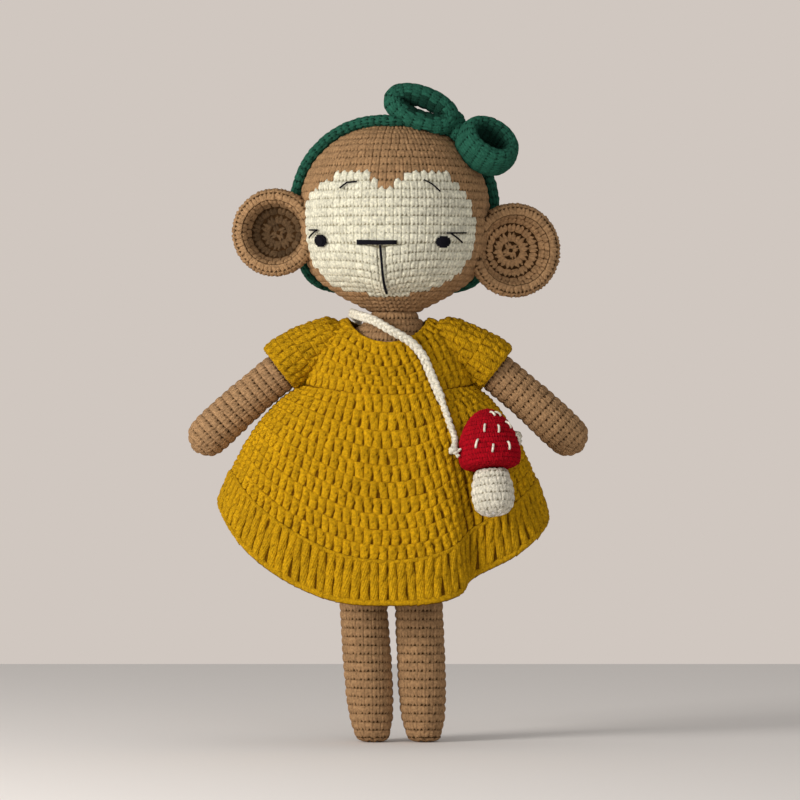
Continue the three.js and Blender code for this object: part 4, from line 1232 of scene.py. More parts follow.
@dataclass(frozen=True)
class BowLoop:
    """One loop of the bow.

    Attributes:
        side: Which loop.
        centre: Its middle on the head.
        long: Its half length.
        short: Its half height.
        tilt: Degrees that it is turned sideways.
        lean: Degrees that it is turned forwards.
        strip: Half sizes of its tube.
    """

    STEPS = 48
    # The darkest painted shade inside a loop.
    DARKEST = 2.4

    side: Side
    centre: tuple[float, float, float]
    long: float
    short: float
    tilt: float
    lean: float
    strip: tuple[float, float]

    @property
    def length(self) -> float:
        """About how long its tube is."""
        return math.pi * (self.long + self.short)

    def place(self) -> Matrix:
        """Where it stands on the head."""
        turned = Matrix.Rotation(math.radians(self.tilt), 4, "Y")
        return Matrix.Translation(self.centre) @ turned @ Matrix.Rotation(math.radians(self.lean), 4, "X")

    def tube(self) -> Swept:
        """Its closed tube, in its own frame."""
        frames = []
        for i in range(self.STEPS + 1):
            angle = 2 * math.pi * i / self.STEPS
            out = Vector((self.short * math.cos(angle), 0, self.long * math.sin(angle))).normalized()
            centre = Vector((self.long * math.cos(angle), 0, self.short * math.sin(angle)))
            frames.append((centre, out, Vector((0, 1, 0))))
        return Swept(frames, *self.strip)

    def shade(self, point: Vector) -> float:
        """How much darker it is painted inside, as painted shade in the loop's hollow."""
        return self.DARKEST * smooth(1 - math.hypot(point.x / self.long, point.z / self.short), 0, 0.35)


@dataclass
class Headband:
    """The crocheted band from the crown down behind the ears, and the bow sewn on it.

    Attributes:
        head: The head that wears it.
        width: The band's width.
        thickness: The band's thickness.
        length: About how long the band is.
        row: Height of its rounds.
        lift: How far its inside lies above the head.
        top: How far forward it lies at the crown.
        rise: How far back it runs from there.
        tuck: How much further back it is tucked below the ears.
        gauge: How it is worked.
        loop_gauge: How the bow's loops are worked.
        loop_row: Height of their rounds.
        knot_gauge: How the bow's knot is worked.
        knot_row: Height of its rounds.
        knot: Half sizes of the bow's knot.
        bow: The knot's middle on the head.
        loops: The bow's two loops.
    """

    STEPS = 96

    head: Head
    width: float = 6.0
    thickness: float = 4.8
    length: float = 290.0
    row: float = 3.3
    lift: float = -0.5
    top: float = -18.5
    rise: float = 33.0
    tuck: float = 14.0
    gauge: Gauge = Gauge(Stitch.SINGLE, 3.1, 1.0, 0.6, stagger=0.5, spread=(1.16, 1.34))
    loop_gauge: Gauge = Gauge(Stitch.SINGLE, 3.0, 1.0, 0.6, stagger=0.5, spread=(1.16, 1.34))
    loop_row: float = 3.2
    knot_gauge: Gauge = Gauge(Stitch.SINGLE, 2.8, 0.9, 0.55)
    knot_row: float = 2.6
    knot: tuple[float, float, float] = (4.2, 5.0, 7.0)
    bow: tuple[float, float, float] = (28.5, -13.5, 37.5)
    loops: Sequence[BowLoop] = (
        BowLoop(Side.RIGHT, (12.4, -15.5, 45.4), 13.0, 5.7, 21, -14, (4.9, 5.8)),
        BowLoop(Side.LEFT, (42.2, -16.5, 28.6), 10.6, 8.2, 33, -41, (4.1, 8.6)),
    )

    def _point(self, angle: float, lift: float) -> Vector:
        """The place where the band's plane meets the head, at an angle from the crown."""
        slope = math.sqrt(math.sin(angle / 2) ** 2 + 0.0025) - 0.05
        back = self.top + self.rise * slope + self.tuck * smooth(math.pi - abs(math.pi - angle), 2.2, 2.6)
        near, far = 0.0, 2 * self.head.form.RADIUS
        for _ in range(30):
            middle = (near + far) / 2
            at = Vector((middle * math.sin(angle), back, middle * math.cos(angle)))
            near, far = (near, middle) if self.head.form.side(at, lift) > 0 else (middle, far)
        return Vector((near * math.sin(angle), back, near * math.cos(angle)))

    def _band(self) -> Swept:
        """The band's closed tube."""
        lift = self.lift + self.thickness / 2
        frames = []
        for i in range(self.STEPS + 1):
            angle = 2 * math.pi * i / self.STEPS
            out = (self._point(angle, lift + 1) - self._point(angle, lift - 1)).normalized()
            along = (self._point(angle + 0.02, lift) - self._point(angle - 0.02, lift)).normalized()
            across = along.cross(out).normalized()
            frames.append((self._point(angle, lift), across.cross(along).normalized(), across))
        return Swept(frames, self.thickness / 2, self.width / 2)

    def _tube(self, work: Work, form: Swept, rounds: int, gauge: Gauge, keep: Optional[Keep] = None) -> None:
        """Works a tube in small rounds."""
        work.fabric(form, 0, form.end, sink=0.7, around=16, rows=self.STEPS, keep=keep)
        work.rounds(form, split(form.end, rounds), gauge, keep)

    def build(self) -> None:
        """Works the band, the bow's two loops and its knot."""
        band = Work(self.head.shapes, 21)
        self._tube(band, self._band(), round(self.length / self.row), self.gauge)
        band.finish("headband_crochet", GREEN, "head", ["headband"], self.head.stand)
        for loop in self.loops:
            self._loop(loop)
        self._tie()

    def _loop(self, loop: BowLoop) -> None:
        """Works one loop of the bow, up to the knot."""
        # The loop's stitches are painted darker inside, as painted shade.
        work, place, label = Work(self.head.shapes, 22, dim=loop.shade), loop.place(), loop.side.label
        keep = lambda point: self.head.form.side(place @ point) > 0 and self._outside_knot(place @ point)
        self._tube(work, loop.tube(), round(loop.length / self.loop_row), self.loop_gauge, keep)
        work.finish(f"bow_{label}_crochet", GREEN, "head", [f"bow_loop_{label}"], self.head.stand @ place)

    def _outside_knot(self, point: Vector) -> bool:
        """Tells if a place lies clear of the bow's knot."""
        away = point - Vector(self.bow)
        return sum((away[i] / self.knot[i]) ** 2 for i in range(3)) > 0.8

    def _tie(self) -> None:
        """Winds yarn round the middle of the bow."""
        wide, deep, tall = self.knot
        half_turn = [math.radians(-90 + 180 * i / 12) for i in range(13)]
        outline = [(max(wide * math.cos(a), 0), tall * math.sin(a)) for a in half_turn]
        form = Outlined(outline=outline, depth_ratio=deep / wide)
        work = Work(self.head.shapes, 25)
        work.fabric(form, 0, form.end, sink=0.5, around=24, rows=24)
        work.rounds(form, split(form.end, round(form.end / self.knot_row)), self.knot_gauge)
        place = self.head.stand @ Matrix.Translation(self.bow)
        work.finish("bow_knot_crochet", GREEN, "head", ["bow_knot"], place)


@dataclass
class Torso:
    """The stuffed torso with its neck."""

    shapes: StitchShapes
    bottom: float = 96.0
    radius: float = 26.0
    shoulder: float = 184.5
    neck: float = 10.0
    neck_top: float = 209.5
    lean: float = 3.0
    hips: float = 13.2
    hip_height: float = 90.0
    hip_room: float = 12.3
    row: float = 4.05
    gauge: Gauge = Gauge(Stitch.SINGLE, 3.9, 1.45, 1.25, multiple=3)

    def form(self) -> Outlined:
        """The torso from its seat to the top of its neck."""
        r, b, s, n = self.radius, self.bottom, self.shoulder, self.neck
        outline = [
            (0, b),
            (r - 9, b),
            (r - 3.5, b + 2.5),
            (r, b + 12),
            (r, b + 28),
            (r - 2.6, b + 52),
            (r - 5.2, s - 13),
            (r - 6.9, s - 3.5),
            (r - 8.6, s + 4.0),
            (n + 4.6, s + 8.0),
            (n + 1.2, s + 11),
            (n, 200),
            (n, self.neck_top - 1),
            (n - 1, self.neck_top),
            (0, self.neck_top),
        ]
        shift = lambda height: self.lean * smooth(height, s + 2, s + 11)
        return Outlined(outline=outline, depth_ratio=0.92, shift=shift)

    def build(self) -> None:
        """Works the torso, with hollows where the legs join it."""
        form, work = self.form(), Work(self.shapes, 31)
        sides = [Vector((side.value * self.hips, 0, self.hip_height)) for side in Side]
        keep = lambda point: all((point - hip).length > self.hip_room for hip in sides)
        work.fabric(form, 0, form.end, sink=1.25, around=56, rows=60, keep=keep)
        work.rounds(form, split(form.end, round(form.end / self.row)), self.gauge, keep)
        work.stuffed("torso_crochet", "torso", "torso_skin", fill=0.9)


@dataclass
class Leg:
    """A stuffed leg, straight from the hip to a rounded foot with a flat sole.

    Attributes:
        shapes: The stitches' shapes.
        side: Which leg.
        spacing: How far apart the hips are.
        radius: The leg's radius.
        sole: Radius of the flat sole.
        hip: Height of the hip.
        lean: How far the sole stands to the left of the hip.
        row: Height of a round.
        gauge: How it is worked.
        pressed: How far the sole's stitches stand out, as a share of the others.
    """

    shapes: StitchShapes
    side: Side
    spacing: float = 26.4
    radius: float = 11.5
    sole: float = 6.0
    hip: float = 90.0
    lean: float = 0.0
    row: float = 3.95
    gauge: Gauge = Gauge(Stitch.SINGLE, 3.9, 1.5, 1.3, multiple=3, drift=0.06)
    pressed: float = 0.85

    def form(self) -> Outlined:
        """The leg from its sole to the ball of its hip."""
        r = self.radius
        outline = [
            (0, 0),
            (self.sole, 0),
            (r - 3.9, 1.6),
            (r - 2.4, 6),
            (r - 1.2, 12),
            (r - 0.5, 20),
            (r - 0.1, 33),
            (r - 0.3, 60),
            (r, self.hip),
            arc(r, self.hip, 30),
            arc(r, self.hip, 60),
            (0, self.hip + r),
        ]
        return Outlined(outline=outline, shift=lambda z: self.lean * max(1 - z / self.hip, 0))

    def build(self) -> None:
        """Works the leg in rounds from the middle of its sole."""
        form, work = self.form(), Work(self.shapes, 41 + self.side.value)
        work.fabric(form, 0, form.end, sink=1.25, around=36, rows=48)
        on_sole = lambda low, high: form.at((low + high) / 2)[1] < 0.6
        raised = lambda low, high: self.gauge.raised * (self.pressed if on_sole(low, high) else 1.0)
        work.rounds(form, split(form.end, round(form.end / self.row)), self.gauge, raised=raised)
        label, place = self.side.label, Matrix.Translation((self.side.value * self.spacing / 2, 0, 0))
        work.stuffed(f"leg_{label}_crochet", f"leg_{label}", f"leg_skin_{label}", place)


class ArmForm(Outlined):
    """A form along the curved axis of an arm, where an outline's height is the distance from the shoulder."""

    STEPS = 60
    PIVOT = (28.3, 184.5)
    MIDDLE = (51.0, 171.5)
    TIP = (82.5, 141.0)

    def __init__(self, side: Side, outline: Outline, puff: float = 0.0) -> None:
        """Measures the axis.

        Args:
            side: Which arm.
            outline: Radius and distance from the shoulder.
            puff: How far the form rises off the axis, away from the shoulder.
        """
        self.side = side
        self.puff = puff
        self.steps = running([self._axis(i / self.STEPS)[0] for i in range(self.STEPS + 1)])
        super().__init__(outline=outline)

    def _axis(self, share: float) -> tuple[Vector, Vector]:
        """Place and direction on the axis."""
        a, b, c = (Vector((self.side.value * x, 0, z)) for x, z in (self.PIVOT, self.MIDDLE, self.TIP))
        place = a * (1 - share) ** 2 + b * 2 * share * (1 - share) + c * share**2
        return place, ((b - a) * (1 - share) + (c - b) * share).normalized()

    @property
    def length(self) -> float:
        """The axis's length."""
        return self.steps[-1]

    def centre(self, distance: float) -> tuple[Vector, Vector]:
        """Place and direction at a distance from the shoulder, which may lie past either end."""
        along = min(max(distance, 0.0), self.length)
        i = next((i for i in range(self.STEPS) if self.steps[i + 1] >= along), self.STEPS - 1)
        share = (i + (along - self.steps[i]) / (self.steps[i + 1] - self.steps[i])) / self.STEPS
        place, ahead = self._axis(share)
        return place + ahead * (distance - along), ahead

    def point(self, turn: float, along: float) -> Vector:
        """The place on the arm."""
        radius, distance = self.at(along)
        place, ahead = self.centre(distance)
        place.z += self.puff * smooth(distance, -4, 20)
        front = Vector((0, 1, 0))
        angle = 2 * math.pi * turn
        return place + front * radius * math.cos(angle) + ahead.cross(front) * radius * math.sin(angle)


class Cloth:
    """A crocheted cloth of the dress: a thin fabric in the painted shade of the gaps, with stitches on it."""

    SPANS = 12

    def __init__(
        self, shapes: StitchShapes, form: Form, low: float, high: float, seed: int, dim: float = 0.0
    ) -> None:
        """Starts the cloth.

        Args:
            shapes: The stitches' shapes.
            form: The surface that it covers.
            low: Where its fabric starts along the form.
            high: Where its fabric ends.
            seed: Start of the random draws.
            dim: How much darker its stitches are painted, as painted shade.
        """
        self.form = form
        self.low = low
        self.high = high
        self.ground = Work(shapes)
        # All its stitches are painted darker by the same painted shade.
        self.stitches = Work(shapes, seed, dim=lambda point: dim)

    def lay(self, sink: float, around: int, rows: int, keep: Optional[Keep] = None) -> None:
        """Lays the thin fabric, which has no relief and so shows the painted shade between the stitches."""
        self.ground.fabric(self.form, self.low, self.high, sink, around, rows, keep)

    def _laid_flat(self) -> tuple[Point, float]:
        """Returns the girth and the height of the cloth laid flat, and its area, in metres."""
        stations = [self.low + (self.high - self.low) * i / self.SPANS for i in range(self.SPANS + 1)]
        widths = [self.form.ring(at)[1] for at in stations]
        tall = [self.form.gap(a, b) for a, b in pairwise(stations)]
        area = sum(h * (a + b) / 2 for h, a, b in zip(tall, widths, widths[1:])) * MM * MM
        flat = (max(widths) * MM, sum(tall) * MM)
        return flat, min(max(area, 0.31 * flat[0] * flat[1]), flat[0] * flat[1])

    def finish(self, name: str, body: str, node: str, rests_on: str) -> None:
        """Ends the fabric and its stitches as two pieces.

        Args:
            name: Start of the pieces' names.
            body: The body that they move with.
            node: The node that the cloth stands for.
            rests_on: The piece that it lies on; not used.
        """
        piece = self.ground.finish(f"{name}_cloth", MUSTARD, body, [node])
        stitches = self.stitches.finish(f"{name}_stitches", MUSTARD, body, [])
        flat, area = self._laid_flat()
        LOG.info("%s: %.0f by %.0f mm laid flat", piece.name, flat[0] / MM, flat[1] / MM)


@dataclass
class Arm:
    """A stuffed arm and the cap sleeve that goes with it."""

    shapes: StitchShapes
    side: Side
    radius: float = 9.4
    hand: float = 9.9
    row: float = 3.95
    gauge: Gauge = Gauge(Stitch.SINGLE, 3.9, 1.5, 1.25, multiple=3, drift=0.08)
    sleeve_radius: float = 11.55
    sleeve: float = 27.0
    flare: float = 1.7
    puff: float = 1.6
    cuff: float = 2.0
    sleeve_rounds: int = 7
    # Painted shade: the sleeve's stitches are painted darker than those of the yoke and skirt.
    sleeve_dim: float = 0.45
    posts: Gauge = Gauge(Stitch.POST, 4.4, 2.2, 1.6, stagger=0.5)
    edge: Gauge = Gauge(Stitch.CHAIN, 3.0, 1.9, 1.4, spread=(1.35, 1.1))

    def __post_init__(self) -> None:
        """Shapes the arm and its sleeve."""
        length = ArmForm(self.side, [(0, 0), (1, 1)]).length
        r, h, s = self.radius, self.hand, self.sleeve_radius
        arm = [(0, -r), arc(r, 0, -60), arc(r, 0, -30), (r, 0), (r, self.sleeve)]
        arm += [(r + 0.2, (length + self.sleeve) / 2), (h, length - 12), (h, length)]
        arm += [arc(h, length, 28), arc(h, length, 60), (0, length + h)]
        self.form = ArmForm(self.side, arm)
        cap = [(0, -s * 0.96), arc(s * 0.98, 0, -60), arc(s, 0, -30), (s, 0)]
        cap += [(s + self.flare, self.sleeve - 6), (s + self.flare, self.sleeve - 2.4)]
        cap += [(s + 0.2, self.sleeve - 0.2)]
        self.cap = ArmForm(self.side, cap, self.puff)

    def build(self) -> None:
        """Works the arm and then the sleeve."""
        label, body = self.side.label, f"arm_{self.side.label}"
        work = Work(self.shapes, 51 + self.side.value)
        work.fabric(self.form, 0, self.form.end, sink=1.2, around=30, rows=40)
        work.rounds(self.form, split(self.form.end, round(self.form.end / self.row)), self.gauge)
        work.stuffed(f"arm_{label}_crochet", body, f"arm_skin_{label}")
        self._sleeve(label, body)

    def _sleeve(self, label: str, body: str) -> None:
        """Works the sleeve in rounds of posts, from the shoulder to an edged cuff."""
        form = self.cap
        # The sleeve's posts carry painted shade.
        cloth = Cloth(self.shapes, form, 0, form.end, 56, self.sleeve_dim)
        cloth.lay(1.3, 36, 24)
        posts = form.end - self.cuff
        cloth.stitches.rounds(form, split(posts, self.sleeve_rounds), self.posts)
        cloth.stitches.round(form, posts - 0.2, form.end, self.edge)
        cloth.finish(f"sleeve_{label}", body, f"sleeve_{label}", f"arm_{label}_crochet")


class DressForm(Form):
    """The dress, where the way along runs from -1 at the hem through 0 at the waist to 1 at the neckline."""

    start = -1.0
    end = 1.0
    NECKLINE = {"width": 18.0, "front": 19.7, "back": 18.0, "top": 195.5}
    NECKLINE_DROP = {"front": 11.0, "back": 5.5}
    WAIST = {"width": 40.0, "depth": 26.5, "front": 160.0, "side": 164.5}
    HEM = {"right": 78.7, "left": 72.7, "front": 48.0, "back": 41.0, "bottom": 65.0}
    HEM_LIFT = {"side": 44.5, "left_drop": 5.0, "power": 2.8}
    STEPS = 60
    FRONT_FOLDS = ((50, 9, 0.17), (74, 12, -0.05), (22, 12, -0.03), (-38, 14, 0.035))
    BACK_FOLDS = ((-66, 12, -0.03), (128, 16, 0.07), (180, 18, -0.03), (-140, 18, 0.06))

    @staticmethod
    def _oval(sine: float, cosine: float, width: float, depth: float, power: float) -> float:
        """Radius of an oval in a direction."""
        return (abs(sine / width) ** power + abs(cosine / depth) ** power) ** (-1 / power)

    def _neck(self, sine: float, cosine: float) -> tuple[float, float]:
        """Radius and height of the neckline."""
        n, towards = self.NECKLINE, "front" if cosine > 0 else "back"
        height = n["top"] - self.NECKLINE_DROP[towards] * abs(cosine) ** 1.5
        return self._oval(sine, cosine, n["width"], n[towards], 2), height

    def _waist(self, sine: float, cosine: float) -> tuple[float, float]:
        """Radius and height of the waist."""
        w = self.WAIST
        height = w["front"] + (w["side"] - w["front"]) * abs(sine) ** 3
        return self._oval(sine, cosine, w["width"], w["depth"], 2), height

    def _hem(self, sine: float, cosine: float) -> tuple[float, float]:
        """Radius and height of the hem."""
        h, lifted = self.HEM, self.HEM_LIFT
        left = (1 + sine) / 2
        width = h["right"] + (h["left"] - h["right"]) * left
        depth = h["back"] + (h["front"] - h["back"]) * (1 + cosine) / 2
        radius = self._oval(sine, cosine, width, depth, 2.4)
        lift = lifted["side"] - lifted["left_drop"] * left
        return radius, h["bottom"] + lift * abs(radius * sine / width) ** lifted["power"]

    def _folded(self, degrees: float) -> float:
        """How much the folds draw the skirt in, as a share of its radius."""
        away = lambda at: ((degrees - at + 540) % 360) - 180
        folds = (*self.FRONT_FOLDS, *self.BACK_FOLDS)
        return sum(depth * bell(away(at), 0, width) for at, width, depth in folds)

    @staticmethod
    def _curve(a: Point, b: Point, out: float, down: float, share: float) -> Point:
        """A place on the curve from a to b that bends by a middle point."""
        middle = (a[0] + out * (b[0] - a[0]), a[1] + down * (b[1] - a[1]))
        parts = ((1 - share) ** 2, 2 * share * (1 - share), share**2)
        return tuple(sum(p * q[i] for p, q in zip(parts, (a, middle, b))) for i in (0, 1))

    def point(self, turn: float, along: float) -> Vector:
        """The place on the dress."""
        angle = 2 * math.pi * turn
        sine, cosine, share = math.sin(angle), math.cos(angle), -along
        waist = self._waist(sine, cosine)
        if share < 0:
            neck = self._neck(sine, cosine)
            radius, height = self._curve(neck, waist, 0.72, 0.05 + 0.4 * cosine**2, 1 + share)
        else:
            radius, height = self._curve(waist, self._hem(sine, cosine), 0.62, 0.47 - 0.25 * sine**2, share)
            radius *= 1 - self._folded(math.degrees(angle)) * share**1.6
        return Vector((radius * sine, -radius * cosine, height))

    def ring(self, along: float, count: int = 120) -> tuple[list[float], float]:
        """Lengths around the dress, on more points because it is folded."""
        return super().ring(along, count)

    def rows(self, low: float, high: float, count: int) -> list[float]:
        """Splits a span into rows that are equally tall on average."""
        stations = [low + (high - low) * i / self.STEPS for i in range(self.STEPS + 1)]
        tall = [0.0]
        for a, b in pairwise(stations):
            tall.append(tall[-1] + self.gap(a, b))
        edges = []
        for row in range(count + 1):
            goal = tall[-1] * row / count
            i = next((i for i in range(self.STEPS) if tall[i + 1] >= goal - 1e-9), self.STEPS - 1)
            share = (goal - tall[i]) / (tall[i + 1] - tall[i])
            edges.append(stations[i] + (stations[i + 1] - stations[i]) * share)
        return edges


@dataclass
class Dress:
    """The dress without its sleeves: yoke, skirt and ribbed hem band."""

    shapes: StitchShapes
    form: DressForm = field(default_factory=DressForm)
    arms: Sequence[Arm] = ()
    hem_start: float = -0.8
    # Painted shade: the hem band's stitches are painted darker than the skirt's.
    hem_dim: float = 0.45
    yoke_rows: int = 5
    skirt_rows: int = 10
    yoke_posts: Gauge = Gauge(Stitch.POST, 4.2, 2.3, 1.8, stagger=0.5)
    neck_edge: Gauge = Gauge(Stitch.CHAIN, 3.0, 1.9, 1.4, spread=(1.35, 1.15))
    posts: Gauge = Gauge(Stitch.POST, 4.3, 2.3, 1.8, stagger=0.5)
    ribs: Gauge = Gauge(Stitch.RIB, 4.2, 2.4, 1.3)
    ridge: Gauge = Gauge(Stitch.CHAIN, 3.4, 1.3, 0.8, spread=(1.3, 1.0))
    hem_edge: Gauge = Gauge(Stitch.CHAIN, 3.4, 1.7, 1.0, spread=(1.4, 1.2))

    def _outside_shoulders(self, point: Vector) -> bool:
        """Tells if a place lies clear of both shoulders, which the sleeves cover in every pose."""
        near = lambda arm: min((point - arm.form.centre(step * 3.0)[0]).length for step in range(3))
        return all(near(arm) > arm.sleeve_radius - 1.6 for arm in self.arms)

    def build(self) -> None:
        """Works the yoke, the skirt and the hem band from the neckline down."""
        self._yoke()
        self._skirt()
        self._hem()

    def _yoke(self) -> None:
        """Works the yoke, with a corded neckline."""
        form, keep = self.form, self._outside_shoulders
        cloth = Cloth(self.shapes, form, 0.0, 0.985, 62)
        cloth.lay(1.5, 72, 18, keep)
        cloth.stitches.rounds(form, form.rows(0.0, 0.93, self.yoke_rows), self.yoke_posts, keep)
        cloth.stitches.round(form, 0.92, 1.0, self.neck_edge, keep)
        cloth.finish("yoke", "torso", "dress_yoke", "torso_crochet")

    def _skirt(self) -> None:
        """Works the skirt in rounds of posts."""
        form, start = self.form, self.hem_start
        cloth = Cloth(self.shapes, form, start, 0.0, 64)
        cloth.lay(1.5, 144, 40)
        cloth.stitches.rounds(form, form.rows(start, 0.0, self.skirt_rows), self.posts)
        cloth.finish("skirt", "torso", "dress_skirt", "torso_crochet")

    def _hem(self) -> None:
        """Works the hem band: tall ribs between a thin ridge and a thin edge."""
        form, start = self.form, self.hem_start
        # The hem band's stitches carry painted shade.
        cloth = Cloth(self.shapes, form, -0.992, start, 66, self.hem_dim)
        cloth.lay(1.1, 144, 10)
        cloth.stitches.round(form, -0.975, start - 0.012, self.ribs)
        cloth.stitches.round(form, start - 0.014, start + 0.008, self.ridge)
        cloth.stitches.round(form, -1.0, -0.976, self.hem_edge)
        cloth.finish("hem", "torso", "dress_hem", "skirt_cloth")


def through(points: Sequence[Vector], step: float) -> list[Vector]:
    """A smooth line through points.

    Args:
        points: The points that it passes.
        step: About how far apart its own points are.

    Returns:
        The line's points.
    """
    line = []
    for i in range(len(points) - 1):
        p0, p1 = points[max(i - 1, 0)], points[i]
        p2, p3 = points[i + 1], points[min(i + 2, len(points) - 1)]
        count = max(int((p2 - p1).length / step), 1)
        for k in range(count):
            t = k / count
            bend = (p2 - p0) * t + (p0 * 2 - p1 * 5 + p2 * 4 - p3) * t**2 + (p1 * 3 - p0 - p2 * 3 + p3) * t**3
            line.append(p1 + bend * 0.5)
    return [*line, points[-1]]


@dataclass
class Bag:
    """The mushroom bag: a red cap with white stitches, and a cream stem.

    Attributes:
        shapes: The stitches' shapes.
        middle: The middle of the cap's underside in the doll's frame.
        lean: Degrees that it leans forwards and sideways.
        radius: The cap's radius.
        height: The cap's height.
        stem_radius: The stem's radius.
        stem: The stem's length.
        depth_ratio: Its depth as a share of its width.
        gauge: How the cap is worked.
        stem_gauge: How the stem is worked.
        spot_thread: Radius of the thread of the white stitches.
        spot_lift: How far a white stitch stands out.
        spots: Where each white stitch starts and ends, in degrees from the front and height.
    """

    SPOT_STEPS = 8

    shapes: StitchShapes
    middle: tuple[float, float, float] = (46.6, -39.32, 126.5)
    lean: tuple[float, float] = (-12.554, -4.5)
    radius: float = 14.4
    height: float = 28.0
    stem_radius: float = 10.0
    stem: float = 22.0
    depth_ratio: float = 0.85
    gauge: Gauge = Gauge(Stitch.SINGLE, 2.4, 0.8, 0.6, multiple=2, drift=0.3)
    stem_gauge: Gauge = Gauge(Stitch.SINGLE, 3.9, 1.7, 1.3, multiple=2, drift=0.3)
    spot_thread: float = 0.52
    spot_lift: float = 0.8
    spots: Sequence[tuple[Point, Point]] = (
        ((16, 25.0), (26, 23.0)),
        ((34, 24.8), (48, 23.0)),
        ((-6, 18.8), (-8, 15.2)),
        ((24, 18.0), (21, 14.4)),
        ((52, 20.0), (60, 17.0)),
        ((-21, 11.8), (-26, 8.0)),
        ((7, 8.8), (4, 5.4)),
        ((37, 10.0), (38, 6.4)),
        ((72, 14.0), (77, 11.2)),
    )

    def __post_init__(self) -> None:
        """Works out where the bag hangs."""
        tip, roll = (math.radians(angle) for angle in self.lean)
        turned = Matrix.Rotation(tip, 4, "X") @ Matrix.Rotation(roll, 4, "Y")
        self.place = Matrix.Translation(self.middle) @ turned
        r, h = self.radius, self.height
        cap = [(0, 0), (r * 0.6, 0), (r * 0.9, h * 0.035), (r, h * 0.16), (r * 0.985, h * 0.34)]
        cap += [(r * 0.87, h * 0.58), (r * 0.64, h * 0.8), (r * 0.32, h * 0.955), (0, h)]
        self.cap_form = Outlined(outline=cap, depth_ratio=self.depth_ratio)
        r, s = self.stem_radius, self.stem
        stem = [(0, -s), (r * 0.5, -s * 0.985), (r * 0.86, -s * 0.86), (r, -s * 0.6), (r * 0.95, -s * 0.34)]
        stem += [(r * 0.82, -s * 0.12), (r * 0.76, -1.15), (r * 0.68, -0.35), (0, -0.35)]
        self.stem_form = Outlined(outline=stem, depth_ratio=self.depth_ratio)

    def build(self) -> None:
        """Works the cap and the stem, and sews the white stitches."""
        parts = (
            ("bag_cap", self.cap_form, RED, self.gauge),
            ("bag_stem", self.stem_form, WHITE, self.stem_gauge),
        )
        for name, form, yarn, gauge in parts:
            work = Work(self.shapes, 71)
            work.fabric(form, 0, form.end, sink=gauge.sink - 0.1, around=36, rows=36)
            work.rounds(form, split(form.end, round(form.end / gauge.width)), gauge)
            work.stuffed(f"{name}_crochet", "bag", name, self.place, yarn=yarn)
        for i, (start, end) in enumerate(self.spots):
            self._spot(i + 1, start, end)

    def _spot(self, number: int, start: Point, end: Point) -> None:
        """Sews one white stitch: a short thread that dips in at both ends."""
        work, form = Work(self.shapes), self.cap_form
        points = []
        for k in range(self.SPOT_STEPS + 1):
            share = k / self.SPOT_STEPS
            degrees, height = (start[j] + share * (end[j] - start[j]) for j in (0, 1))
            lift = self.spot_lift * math.sin(math.pi * share) ** 0.5
            points.append(form.lifted(degrees / 360, form.along_at(height), lift))
        work.cord(points, self.spot_thread)
        work.finish(f"spot_thread_{number}", WHITE, "bag", [f"cap_stitch_{number}"], self.place)


